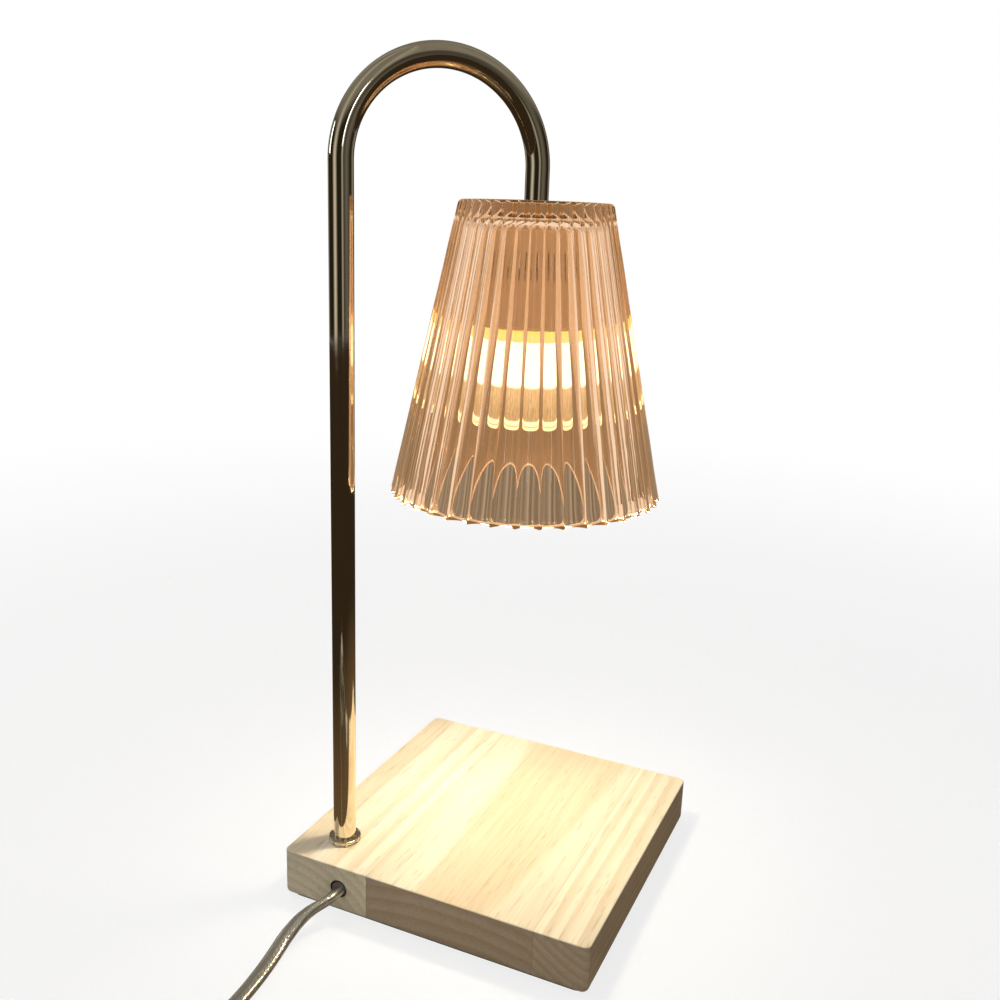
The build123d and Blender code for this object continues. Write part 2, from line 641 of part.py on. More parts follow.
def bracket_screws():
    """Two screws through the bracket's legs into the ceramic."""
    start = bracket_reach() + BRACKET_T
    head = cylinder(BRACKET_HEAD_D / 2, start, start + BRACKET_HEAD_T)
    head = fillet(head.faces().sort_by(Axis.Z)[-1].edges(), 0.7)
    shank = cylinder(BRACKET_SCREW_D / 2, CERAMIC_FLAT / 2 - BRACKET_SCREW_IN, start)
    slot = Pos(0, 0, start + BRACKET_HEAD_T) * Box(0.8, 6, 1.6)
    screw = Rot(0, 90, 0) * (head + shank - slot)
    place = Pos(0, 0, CERAMIC_LOW_Z + BRACKET_SCREW_Z)
    pair = [AT_SHADE * place * Rot(0, 0, turn) * screw for turn in (0, 180)]
    return Compound(children=pair)


def holder_nut():
    """Nut on the tube's end, which clamps bracket, cup and glass together."""
    low = HOLDER_NUT_TOP_Z - HOLDER_NUT_T
    return AT_SHADE * Rot(0, 0, 30) * hex_nut(NUT_AF, TUBE_R + SCREW_FIT, low, HOLDER_NUT_TOP_Z)


def arc_slot(half_width, first, last, low, high):
    """Slot of one width along the pins' circle between two directions, in degrees."""
    middle_line = CenterArc((0, 0), PIN_PITCH / 2, first, last - first)
    return Pos(0, 0, low) * extrude(SlotArc(middle_line, 2 * half_width), high - low)


def lamp_holder():
    """Ceramic twist-lock holder: two keyhole slots with a chamber behind for the pin heads."""
    body = cylinder(CERAMIC_D / 2, CERAMIC_LOW_Z, CERAMIC_TOP_Z)
    body = chamfer(body.edges().filter_by(GeomType.CIRCLE), 0.8)
    body = body & Pos(0, 0, (CERAMIC_LOW_Z + CERAMIC_TOP_Z) / 2) * Box(CERAMIC_FLAT, CERAMIC_D, CERAMIC_H)
    neck = PIN_NECK_D / 2 + PIN_CLEAR
    head = PIN_HEAD_D / 2 + PIN_CLEAR
    for lock in (90, 270):
        body = body - arc_slot(neck, lock - TWIST, lock, CERAMIC_LOW_Z - 1, CHAMBER_LOW_Z + 1)
        body = body - arc_slot(head, lock - TWIST, lock, CHAMBER_LOW_Z, CHAMBER_TOP_Z)
        entry = Pos(*pin_place(lock - TWIST), 0) * cylinder(head, CERAMIC_LOW_Z - 1, CHAMBER_LOW_Z + 1)
        terminal = Pos(0, LEAD_OFFSET * math.sin(math.radians(lock)), 0)
        body = body - entry - terminal * cylinder(TERMINAL_D / 2, CHAMBER_TOP_Z, CERAMIC_TOP_Z + 1)
    across = Pos(0, 0, CERAMIC_LOW_Z + BRACKET_SCREW_Z) * Rot(0, 90, 0)
    reach = CERAMIC_FLAT / 2 - BRACKET_SCREW_IN - 0.3
    for turn in (0, 180):
        hole = cylinder(BRACKET_SCREW_D / 2 + SCREW_FIT, reach, CERAMIC_D)
        body = body - Rot(0, 0, turn) * across * hole
    return AT_SHADE * body


def pin_place(direction):
    """Place of a pin on its circle, for a direction in degrees."""
    a = math.radians(direction)
    return (PIN_PITCH / 2 * math.cos(a), PIN_PITCH / 2 * math.sin(a))


def holder_contacts():
    """Two brass spring leaves against the chambers' ceilings, one over each pin."""
    leaves = []
    for lock in (90, 270):
        x, y = pin_place(lock)
        leaf = Pos(x, y, CHAMBER_TOP_Z - CONTACT_T / 2) * Box(PIN_HEAD_D - 1.0, PIN_HEAD_D - 1.0, CONTACT_T)
        leaves.append(AT_SHADE * leaf)
    return Compound(children=leaves)


# ------------------------------------------------------------------ bulb
def reflector_radius(height):
    """Outer radius of the reflector at a height over its front face: a full curve to the neck."""
    rise = max(0.0, height - BULB_RIM_H) / (BULB_NECK_H - BULB_RIM_H)
    front = BULB_D / 2 - 0.6
    return front - (front - BULB_NECK_R) * rise**BULB_FULLNESS


def bulb_reflector():
    """Open glass bowl with a thick front rim that holds the front glass."""
    z0 = BULB_FACE_Z
    heights = [BULB_RIM_H + (BULB_NECK_H - BULB_RIM_H) * k / 5 for k in range(6)]
    outside = Spline(*[(reflector_radius(h), 0, z0 + h) for h in heights])
    neck = z0 + BULB_NECK_H
    rim = Polyline(
        (BULB_NECK_R, 0, neck), (0, 0, neck), (0, 0, z0), (BULB_D / 2, 0, z0),
        (BULB_D / 2, 0, z0 + BULB_RIM_H), (reflector_radius(BULB_RIM_H), 0, z0 + BULB_RIM_H),
    )
    body = revolve(make_face([outside, rim]), Axis.Z)
    body = fillet(body.edges().filter_by(GeomType.CIRCLE).sort_by(Axis.Z)[0], 0.8)
    floor = BULB_RIM_H + 0.4
    inner_h = [floor + (BULB_NECK_H - 2.5 - floor) * k / 5 for k in range(6)]
    bowl = Spline(*[(reflector_radius(h) - BULB_GLASS_T, 0, z0 + h) for h in inner_h])
    low_r = reflector_radius(inner_h[0]) - BULB_GLASS_T
    high_r = reflector_radius(inner_h[-1]) - BULB_GLASS_T
    close = Polyline(
        (high_r, 0, z0 + inner_h[-1]), (0, 0, z0 + inner_h[-1]), (0, 0, z0 + floor), (low_r, 0, z0 + floor)
    )
    hollow = revolve(make_face([bowl, close]), Axis.Z)
    seat = cylinder(BULB_D / 2 - 1.6, z0 - 1, z0 + floor)
    return AT_SHADE * (body - hollow - seat)


def bulb_lens():
    """Clear front glass set in the reflector's rim."""
    low = BULB_FACE_Z + LENS_SET
    disc = cylinder(BULB_D / 2 - 1.6 - SCREW_FIT, low, BULB_FACE_Z + BULB_RIM_H + 0.4)
    return AT_SHADE * chamfer(disc.faces().sort_by(Axis.Z)[0].edges(), 0.4)


def bulb_cap():
    """White cap behind the reflector: a round skirt under a rounded block."""
    low = BULB_FACE_Z + BULB_NECK_H
    skirt = cylinder(BULB_CAP_R, low, low + BULB_CAP_H)
    block = rounded_plate(BULB_BLOCK_W, BULB_BLOCK_L, BULB_BLOCK_R, low + BULB_CAP_H, BULB_TOP_Z)
    block = fillet(block.faces().sort_by(Axis.Z)[-1].edges(), 1.2)
    cap = skirt + block
    for lock in (90, 270):
        cap = cap - Pos(*pin_place(lock), 0) * cylinder(PIN_NECK_D / 2 + SCREW_FIT, BULB_TOP_Z - 3.0, BULB_TOP_Z + 1)
    return AT_SHADE * cap


def bulb_pins():
    """The two headed pins of the twist-lock cap."""
    pins = []
    neck_top = BULB_TOP_Z + PIN_NECK_H
    for lock in (90, 270):
        neck = cylinder(PIN_NECK_D / 2, BULB_TOP_Z - 3.0, neck_top)
        head = cylinder(PIN_HEAD_D / 2, neck_top, neck_top + PIN_HEAD_H)
        head = fillet(head.faces().sort_by(Axis.Z)[-1].edges(), 0.6)
        pins.append(AT_SHADE * Pos(*pin_place(lock), 0) * (neck + head))
    return Compound(children=pins)


def bulb_capsule():
    """Halogen capsule in the bowl: a domed tube on a pinched foot that stands in the neck."""
    high = BULB_FACE_Z + BULB_NECK_H - 2.5
    low = high - CAPSULE_H
    tube = cylinder(CAPSULE_D / 2, low, high - 5.0)
    tube = fillet(tube.faces().sort_by(Axis.Z)[0].edges(), CAPSULE_D / 2 - 0.4)
    foot = Pos(0, 0, high - 2.5) * Box(CAPSULE_D, 3.2, 5.0)
    return AT_SHADE * (tube + foot)


# ------------------------------------------------------------------ free cord
def coil_point(azimuth, radius):
    """Point on a level circle round the coil's centre."""
    a = math.radians(azimuth)
    return (COIL_CENTRE[0] + radius * math.cos(a), COIL_CENTRE[1] + radius * math.sin(a))


def coil_heading(azimuth):
    """Direction of travel, counter-clockwise round the coil, at an azimuth."""
    a = math.radians(azimuth)
    return (-math.sin(a), math.cos(a))


COIL_LOW_Z = COIL_LIFT + CORD_REST_Z
COIL_HIGH_Z = COIL_LOW_Z + COIL_STEP * (COIL_LAYERS - 1)
COIL_OUTER = COIL_RADII[-1] + CORD_D / 2 + 0.2
COIL_INNER = COIL_RADII[0] - CORD_D / 2 - 0.2


def stub_end(azimuth, sign, out=0.0):
    """End of the coil's short straight tail, or further out, before (-1) or after (+1) the turns."""
    x, y = coil_point(azimuth, COIL_RADII[-1])
    dx, dy = coil_heading(azimuth)
    reach = sign * (COIL_STUB + math.sqrt(COIL_OUTER**2 - COIL_RADII[-1] ** 2) + out)
    return (x + dx * reach, y + dy * reach)


IN_END = stub_end(COIL_IN_AZIMUTH, -1)
OUT_END = stub_end(COIL_OUT_AZIMUTH, 1)


def cord_coil():
    """Outer shape of the wound cord, with the two straight tails where the free cord joins."""
    cx, cy = COIL_CENTRE
    low = COIL_LIFT
    high = COIL_HIGH_Z + CORD_D / 2 + 0.1
    body = Pos(cx, cy, 0) * ring(COIL_OUTER, COIL_INNER, low, high)
    body = fillet(body.edges().filter_by(GeomType.CIRCLE), 2.0)
    for azimuth, end, z in (
        (COIL_IN_AZIMUTH, IN_END, COIL_LOW_Z),
        (COIL_OUT_AZIMUTH, OUT_END, COIL_HIGH_Z),
    ):
        start = coil_point(azimuth, COIL_RADII[-1])
        body = body + round_sweep(Line((*start, z), (*end, z)), CORD_D / 2)
    return body


LINK_ROUTE = [
    (66.6, -286.7, 5.4),
    (75.8, -276.1, CORD_REST_Z),
    (80.0, -262.3, CORD_REST_Z),
    (78.4, -247.4, CORD_REST_Z),
    (71.4, -233.6, CORD_REST_Z),
    (59.9, -222.5, CORD_REST_Z),
    (44.9, -214.5, CORD_REST_Z),
    (28.4, -210.2, 3.7),
]
TAIL_ROUTE = [
    (33.5, -234.0, 12.3),
    (44.0, -220.5, 13.4),
    (54.0, -204.5, 13.4),
    (60.0, -191.0, 10.3),
    (63.5, -180.0, 7.8),
]


def dimmer_end(sign, out=0.0):
    """Small end of a dimmer relief, or a point further out: -1 towards the lamp, +1 the plug."""
    a = math.radians(DIMMER_HEADING)
    reach = sign * (DIMMER_L / 2 + RELIEF_L + out)
    return (DIMMER_CENTRE[0] + reach * math.cos(a), DIMMER_CENTRE[1] + reach * math.sin(a), DIMMER_SPLIT)


def cord_feed():
    """Free cord from the board to the dimmer."""
    route = [*FEED_ROUTE, dimmer_end(-1, END_RUN), dimmer_end(-1)]
    return cord_tube(route, CORD_D, "cord_feed")


def cord_link():
    """Free cord from the dimmer to the coil."""
    before = stub_end(COIL_IN_AZIMUTH, -1, END_RUN)
    route = [dimmer_end(1), dimmer_end(1, END_RUN), *LINK_ROUTE, (*before, COIL_LOW_Z), (*IN_END, COIL_LOW_Z)]
    return cord_tube(route, CORD_D, "cord_link")


def cord_tail():
    """Free cord from the coil over the link to the plug."""
    after = stub_end(COIL_OUT_AZIMUTH, 1, END_RUN)
    a = math.radians(PLUG_HEADING)
    x, y = PLUG_START
    before = (x - 8 * math.cos(a), y - 8 * math.sin(a), PLUG_AXIS_Z)
    route = [(*OUT_END, COIL_HIGH_Z), (*after, COIL_HIGH_Z), *TAIL_ROUTE, before, (x, y, PLUG_AXIS_Z)]
    return cord_tube(route, CORD_D, "cord_tail")


def cord_tie():
    """Flat band round the coil's bundle."""
    near = math.sqrt(COIL_INNER**2 - (TIE_W / 2) ** 2) - 0.2
    far = COIL_OUTER + 0.2
    width = far - near
    low = COIL_LIFT - 0.2
    high = COIL_HIGH_Z + CORD_D / 2 + 0.3
    middle = (far + near) / 2
    height = high - low
    outer = RectangleRounded(width + 2 * TIE_T, height + 2 * TIE_T, 2.0 + TIE_T)
    inner = RectangleRounded(width, height, 2.0)
    band = Rot(90, 0, 0) * extrude(outer - inner, TIE_W / 2, both=True)
    place = Pos(*COIL_CENTRE, 0) * Rot(0, 0, TIE_AZIMUTH) * Pos(middle, 0, (low + high) / 2)
    return place * band


# ------------------------------------------------------------------ dimmer
AT_DIMMER = Pos(*DIMMER_CENTRE, 0) * Rot(0, 0, DIMMER_HEADING)
WHEEL_Y = DIMMER_W / 2 + WHEEL_OUT - WHEEL_D / 2
PCB_Z = DIMMER_WALL + 0.6
WHEEL_LOW_Z = DIMMER_SPLIT + WHEEL_GAP
WHEEL_HIGH_Z = WHEEL_LOW_Z + WHEEL_T


def dimmer_hollow(low, high):
    """Inside of the housing between two heights."""
    inside = SlotOverall(DIMMER_L - 2 * DIMMER_WALL, DIMMER_W - 2 * DIMMER_WALL)
    return Pos(0, 0, low) * extrude(inside, high - low)


def dimmer_blank(low, high):
    """Outside of the housing between two heights."""
    return Pos(0, 0, low) * extrude(SlotOverall(DIMMER_L, DIMMER_W), high - low)


def relief_holes():
    """Round openings in the two ends of the housing."""
    axis = Pos(0, 0, DIMMER_SPLIT) * Rot(0, 90, 0)
    return axis * extrude(Circle(RELIEF_NECK_R + SCREW_FIT), DIMMER_L, both=True)


def boss_places():
    """The dimmer's two screw places."""
    return [(-DIMMER_SCREW_SPAN / 2, -5.2), (DIMMER_SCREW_SPAN / 2, -5.2)]


def dimmer_lower_cover():
    """Lower half of the housing with two screw bosses and the board's rests."""
    shell = fillet(dimmer_blank(0, DIMMER_SPLIT).faces().sort_by(Axis.Z)[0].edges(), DIMMER_EDGE_R)
    shell = shell - dimmer_hollow(DIMMER_WALL, DIMMER_SPLIT + 1)
    shell = shell - relief_holes()
    for x, y in boss_places():
        shell = shell + Pos(x, y, 0) * cylinder(DIMMER_BOSS_D / 2, DIMMER_WALL / 2, DIMMER_SPLIT)
        shell = shell - Pos(x, y, 0) * cylinder(DIMMER_SCREW_D / 2 + SCREW_FIT, -1, DIMMER_SPLIT + 1)
        shell = shell - Pos(x, y, 0) * cylinder(DIMMER_BOSS_D / 2 - 0.6, -1, DIMMER_WALL)
    rest = Pos(0, 0, (DIMMER_WALL / 2 + PCB_Z) / 2) * Box(2.0, PCB_W - 2, PCB_Z - DIMMER_WALL / 2)
    return AT_DIMMER * (shell + Pos(-PCB_L / 2 + 3, 0, 0) * rest + Pos(PCB_L / 2 - 3, 0, 0) * rest)


def dimmer_upper_cover():
    """Upper half of the housing with the slot for the wheel, its pivot boss and screw bosses."""
    shell = dimmer_blank(DIMMER_SPLIT, DIMMER_H)
    shell = fillet(shell.faces().sort_by(Axis.Z)[-1].edges(), DIMMER_EDGE_R)
    roof = DIMMER_H - DIMMER_WALL
    shell = shell - dimmer_hollow(DIMMER_SPLIT - 1, roof)
    shell = shell - relief_holes()
    slot = Pos(0, WHEEL_Y, 0) * cylinder(WHEEL_D / 2 + WHEEL_GAP, DIMMER_SPLIT - 1, WHEEL_HIGH_Z + WHEEL_GAP)
    shell = shell - slot
    shell = shell + Pos(0, WHEEL_Y, 0) * cylinder(3.0, WHEEL_HIGH_Z + 0.3, roof + DIMMER_WALL / 2)
    for x, y in boss_places():
        boss = Pos(x, y, 0) * cylinder(DIMMER_BOSS_D / 2, DIMMER_SPLIT, roof + DIMMER_WALL / 2)
        shell = shell + boss
        shell = shell - Pos(x, y, 0) * cylinder(DIMMER_SCREW_D / 2 + SCREW_FIT, DIMMER_SPLIT - 1, roof - 0.4)
    return AT_DIMMER * shell


def dimmer_screws():
    """Two screws from below that hold the halves together."""
    head = cylinder(DIMMER_BOSS_D / 2 - 0.7, 0.3, DIMMER_WALL)
    shank = cylinder(DIMMER_SCREW_D / 2, DIMMER_WALL, DIMMER_H - DIMMER_WALL - 0.8)
    slot = Pos(0, 0, 0.3) * Box(0.7, 2.6, 1.2)
    screw = head + shank - slot - Rot(0, 0, 90) * slot
    return Compound(children=[AT_DIMMER * Pos(x, y, 0) * screw for x, y in boss_places()])


def dimmer_board():
    """Printed circuit board on its two rests, between the screw bosses."""
    board = Pos(0, 0, PCB_Z) * extrude(Rectangle(PCB_L, PCB_W), PCB_T)
    return AT_DIMMER * board


def dimmer_pot():
    """Rotary control on the circuit board, with the bearing for the wheel's spindle."""
    low = PCB_Z + PCB_T
    high = DIMMER_SPLIT
    body = Pos(0, WHEEL_Y, 0) * rounded_plate(POT_SIDE, POT_SIDE, 1.0, low, high)
    return AT_DIMMER * (body - Pos(0, WHEEL_Y, 0) * cylinder(SPINDLE_D / 2 + SCREW_FIT, low + 0.6, high + 1))


def dimmer_wheel():
    """Knurled thumb wheel with its spindle."""
    wheel = cylinder(WHEEL_D / 2, WHEEL_LOW_Z, WHEEL_HIGH_Z)
    wheel = chamfer(wheel.edges().filter_by(GeomType.CIRCLE), 0.6)
    groove = Pos(WHEEL_D / 2 + 0.35, 0, WHEEL_LOW_Z - 1) * extrude(Circle(0.75), WHEEL_T + 2)
    grooves = [Rot(0, 0, 360 * i / WHEEL_KNURLS) * groove for i in range(WHEEL_KNURLS)]
    wheel = wheel - grooves
    spindle = cylinder(SPINDLE_D / 2, PCB_Z + PCB_T + 0.9, WHEEL_LOW_Z)
    return AT_DIMMER * Pos(0, WHEEL_Y, 0) * (wheel + spindle)


def dimmer_reliefs():
    """Two tapered, grooved cord reliefs, held by a flange inside the housing."""
    start = DIMMER_L / 2
    inside = start - DIMMER_WALL - RELIEF_FLANGE_T - 1.5
    outline = [
        (0, inside),
        (RELIEF_FLANGE_R, inside),
        (RELIEF_FLANGE_R, inside + RELIEF_FLANGE_T),
        (RELIEF_NECK_R, inside + RELIEF_FLANGE_T),
        (RELIEF_NECK_R, start + 0.1),
        (RELIEF_BIG_R, start + 0.1),
        (RELIEF_SMALL_R, start + RELIEF_L),
        (0, start + RELIEF_L),
    ]
    relief = turned(outline)
    for i in range(RELIEF_GROOVES):
        at = start + 3.0 + i * (RELIEF_L - 5.0) / (RELIEF_GROOVES - 1)
        radius = RELIEF_BIG_R + (RELIEF_SMALL_R - RELIEF_BIG_R) * (at - start) / RELIEF_L
        relief = relief - Pos(0, 0, at) * Torus(radius + 0.15, 0.6)
    pair = []
    for turn in (0, 180):
        pair.append(AT_DIMMER * Pos(0, 0, DIMMER_SPLIT) * Rot(0, 0, turn) * Rot(0, 90, 0) * relief)
    return Compound(children=pair)


# ------------------------------------------------------------------ plug
AT_PLUG = Pos(*PLUG_START, PLUG_AXIS_Z) * Rot(0, 0, PLUG_HEADING) * Rot(0, 90, 0)


def plug_body():
    """Moulded plug body with its tapered relief and finger grips; +Z is along the blades."""
    front = PLUG_RELIEF_L + PLUG_L
    block = Pos(0, 0, PLUG_RELIEF_L) * extrude(RectangleRounded(PLUG_T, PLUG_W, PLUG_EDGE_R), PLUG_L)
    block = fillet(block.faces().sort_by(Axis.Z)[0].edges(), PLUG_EDGE_R - 0.4)
    block = chamfer(block.faces().sort_by(Axis.Z)[-1].edges(), 0.8)
    taper = turned(
        [(0, 0), (RELIEF_SMALL_R, 0), (RELIEF_BIG_R, PLUG_RELIEF_L + 1), (0, PLUG_RELIEF_L + 1)]
    )
    for i in range(RELIEF_GROOVES):
        at = 3.0 + i * (PLUG_RELIEF_L - 5.0) / (RELIEF_GROOVES - 1)
        radius = RELIEF_SMALL_R + (RELIEF_BIG_R - RELIEF_SMALL_R) * at / PLUG_RELIEF_L
        taper = taper - Pos(0, 0, at) * Torus(radius + 0.15, 0.6)
    body = block + taper
    for side in (-1, 1):
        grip = Pos(0, side * (PLUG_W / 2 + 9.0), PLUG_RELIEF_L + PLUG_L / 2)
        body = body - grip * Rot(0, 90, 0) * extrude(Circle(10.4), PLUG_T, both=True)
        blade = Pos(0, side * BLADE_PITCH / 2, front - BLADE_IN / 2)
        body = body - blade * Box(BLADE_W, BLADE_T, BLADE_IN + 0.001)
    return AT_PLUG * body


def plug_blades():
    """Two flat blades with a round hole near the tip."""
    front = PLUG_RELIEF_L + PLUG_L
    blades = []
    for side in (-1, 1):
        length = BLADE_L + BLADE_IN
        blade = Pos(0, side * BLADE_PITCH / 2, front + (BLADE_L - BLADE_IN) / 2) * Box(BLADE_W, BLADE_T, length)
        blade = chamfer(blade.faces().sort_by(Axis.Z)[-1].edges(), 0.5)
        hole = Pos(0, side * BLADE_PITCH / 2, front + BLADE_L - 4.0) * Rot(90, 0, 0)
        blades.append(AT_PLUG * (blade - hole * extrude(Circle(BLADE_HOLE_D / 2), 3, both=True)))
    return Compound(children=blades)


# ------------------------------------------------------------------ write every node
NODES = [
    base_board, base_pad, pole_collar, foot_washer, foot_lock_washer, foot_nut,
    cord_entry, cord_cores, splice_sleeves, cord_clamp, clamp_screws,
    arm_tube, lamp_leads,
    glass_shade, top_gasket, top_ring_nut, lower_gasket,
    holder_cup, holder_bracket, bracket_screws, holder_nut, lamp_holder, holder_contacts,
    bulb_reflector, bulb_lens, bulb_cap, bulb_pins, bulb_capsule,
    cord_feed, cord_link, cord_coil, cord_tail, cord_tie,
    dimmer_lower_cover, dimmer_upper_cover, dimmer_screws, dimmer_board, dimmer_pot,
    dimmer_wheel, dimmer_reliefs,
    plug_body, plug_blades,
]

for make in NODES:
    save(make.__name__, make())
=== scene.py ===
import json
import math
import bpy
import numpy as np
from mathutils import Matrix


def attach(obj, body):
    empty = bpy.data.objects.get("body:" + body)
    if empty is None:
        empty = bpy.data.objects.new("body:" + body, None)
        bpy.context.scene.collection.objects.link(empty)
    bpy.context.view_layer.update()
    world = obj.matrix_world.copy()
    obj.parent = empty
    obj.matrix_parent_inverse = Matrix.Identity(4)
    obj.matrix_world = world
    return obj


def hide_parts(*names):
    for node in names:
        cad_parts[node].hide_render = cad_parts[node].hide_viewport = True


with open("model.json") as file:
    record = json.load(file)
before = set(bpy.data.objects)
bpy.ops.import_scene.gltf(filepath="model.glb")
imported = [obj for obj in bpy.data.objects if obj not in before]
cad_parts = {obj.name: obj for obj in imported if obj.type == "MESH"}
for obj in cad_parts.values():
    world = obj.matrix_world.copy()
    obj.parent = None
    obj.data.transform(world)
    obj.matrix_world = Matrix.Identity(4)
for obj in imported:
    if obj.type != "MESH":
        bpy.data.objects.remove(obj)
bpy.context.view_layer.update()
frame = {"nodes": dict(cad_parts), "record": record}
NODES = frame["nodes"]
MM = 0.001

# ---------------------------------------------------------------- sizes shared with the solids, mm
POLE = -52.9  # x and y of the pole's axis
SHADE = 4.658492  # x and y of the shade's axis
BEND_R = 40.7
TUBE_R = 5.0
TUBE_BORE_R = 4.0
BOARD_TOP = 23.2
TUBE_FOOT_Z = 8.2
BEND_Z = 318.2
TUBE_END_Z = 291.3
RIM_Z = 181.9
GLASS_TOP_Z = 305.9
CEILING_Z = 297.9
RECESS_Z = 302.3
GLASS_RIM_R = 59.2
GLASS_TOP_R = 32.1
GLASS_WALL = 6.0
FLUTES = 38
FLUTE_TURN = math.radians(-4.05)
FLUTE_DEPTH = 0.296  # share of a flute's width
GLASS_RIM_ROUND = 1.1
GLASS_TOP_ROUND = 1.6
GLASS_INNER_ROUND = 4.5
GLASS_HOLE_R = 5.7
RECESS_R = 12.0
COLLAR_H = 2.4
BULB_FACE_Z = 214.5
BULB_NECK_H = 42.0
BULB_NECK_R = 15.5
BULB_FULLNESS = 2.4
BULB_R = 25.0
BULB_FRONT_R = 24.4  # where the bowl's curve starts above the rim
BULB_RIM_H = 3.0
BULB_GLASS_T = 1.5
BULB_BACK_T = 2.5
CORD_HOLE = (-43.7, 12.35)
HOLE_R = 4.05
CORD_W = 6.5
CORD_T = 3.6


# ---------------------------------------------------------------- shader arithmetic
class Wire:
    """One output of a finish's nodes. Sums, products and powers of wires add Math nodes."""

    def __init__(self, finish, socket):
        self.finish = finish
        self.socket = socket

    def join(self, operation, *values):
        return self.finish.node("ShaderNodeMath", {"operation": operation}, *values)

    def __add__(self, other):
        return self.join("ADD", self, other)

    def __radd__(self, other):
        return self.join("ADD", other, self)

    def __sub__(self, other):
        return self.join("SUBTRACT", self, other)

    def __rsub__(self, other):
        return self.join("SUBTRACT", other, self)

    def __mul__(self, other):
        return self.join("MULTIPLY", self, other)

    def __rmul__(self, other):
        return self.join("MULTIPLY", other, self)

    def __truediv__(self, other):
        return self.join("DIVIDE", self, other)

    def __pow__(self, other):
        return self.join("POWER", self, other)

    def ramp(self, low, high, start=0.0, end=1.0):
        """Smooth step from start to end while the wire goes from low to high."""
        settings = {"interpolation_type": "SMOOTHSTEP"}
        return self.finish.node("ShaderNodeMapRange", settings, self, low, high, start, end)

    def peak(self, centre, width):
        """Bell of height 1 round a centre, nil beyond the width on both sides."""
        off = self.join("ABSOLUTE", self - centre)
        return off.ramp(0.0, width, 1.0, 0.0)


class Finish:
    """A material under construction; node() makes any node and sets or links its inputs."""

    def __init__(self, name):
        self.material = bpy.data.materials.new(name)
        self.material.use_nodes = True
        self.tree = self.material.node_tree
        self.shader = self.tree.nodes["Principled BSDF"]
        self.out = self.tree.nodes["Material Output"]

    def put(self, socket, value):
        if isinstance(value, Wire):
            self.tree.links.new(value.socket, socket)
        else:
            socket.default_value = value

    def node(self, kind, settings=None, *values, out=0, **named):
        node = self.tree.nodes.new(kind)
        for key, value in (settings or {}).items():
            setattr(node, key, value)
        for socket, value in zip(node.inputs, values):
            self.put(socket, value)
        for key, value in named.items():
            self.put(node.inputs[key], value)
        return Wire(self, node.outputs[out])

    def place(self, scale=(1.0, 1.0, 1.0), turn=(0.0, 0.0, 0.0), kind="Object"):
        """Coordinates on the piece, turned and scaled by a Mapping node."""
        coords = self.node("ShaderNodeTexCoord", out=kind)
        return self.node("ShaderNodeMapping", None, coords, Rotation=turn, Scale=scale)

    def noise(self, vector, scale, detail, roughness):
        return self.node(
            "ShaderNodeTexNoise", None, Vector=vector, Scale=scale, Detail=detail, Roughness=roughness,
        )

    def cells(self, vector, scale):
        return self.node("ShaderNodeTexVoronoi", None, Vector=vector, Scale=scale)

    def split(self, vector):
        node = self.node("ShaderNodeSeparateXYZ", None, vector).socket.node
        return [Wire(self, socket) for socket in node.outputs]

    def blend(self, factor, first, second, way="MIX"):
        """Colour between two colours; each is a wire or an RGB triple."""
        node = self.tree.nodes.new("ShaderNodeMix")
        node.data_type = "RGBA"
        node.blend_type = way
        self.put(node.inputs[0], factor)
        for index, value in ((6, first), (7, second)):
            self.put(node.inputs[index], value if isinstance(value, Wire) else (*value, 1.0))
        return Wire(self, node.outputs[2])

    def bump(self, height, distance, strength=1.0):
        return self.node("ShaderNodeBump", None, Strength=strength, Distance=distance, Height=height)

    def surface(self, **inputs):
        for key, value in inputs.items():
            name = key.replace("_", " ")
            if isinstance(value, tuple) and len(value) == 3 and "Normal" not in name:
                value = (*value, 1.0)
            self.put(self.shader.inputs[name], value)
        return self.material


def dress(name, material):
    """Gives a CAD node its finish."""
    mesh = NODES[name].data
    mesh.materials.clear()
    mesh.materials.append(material)


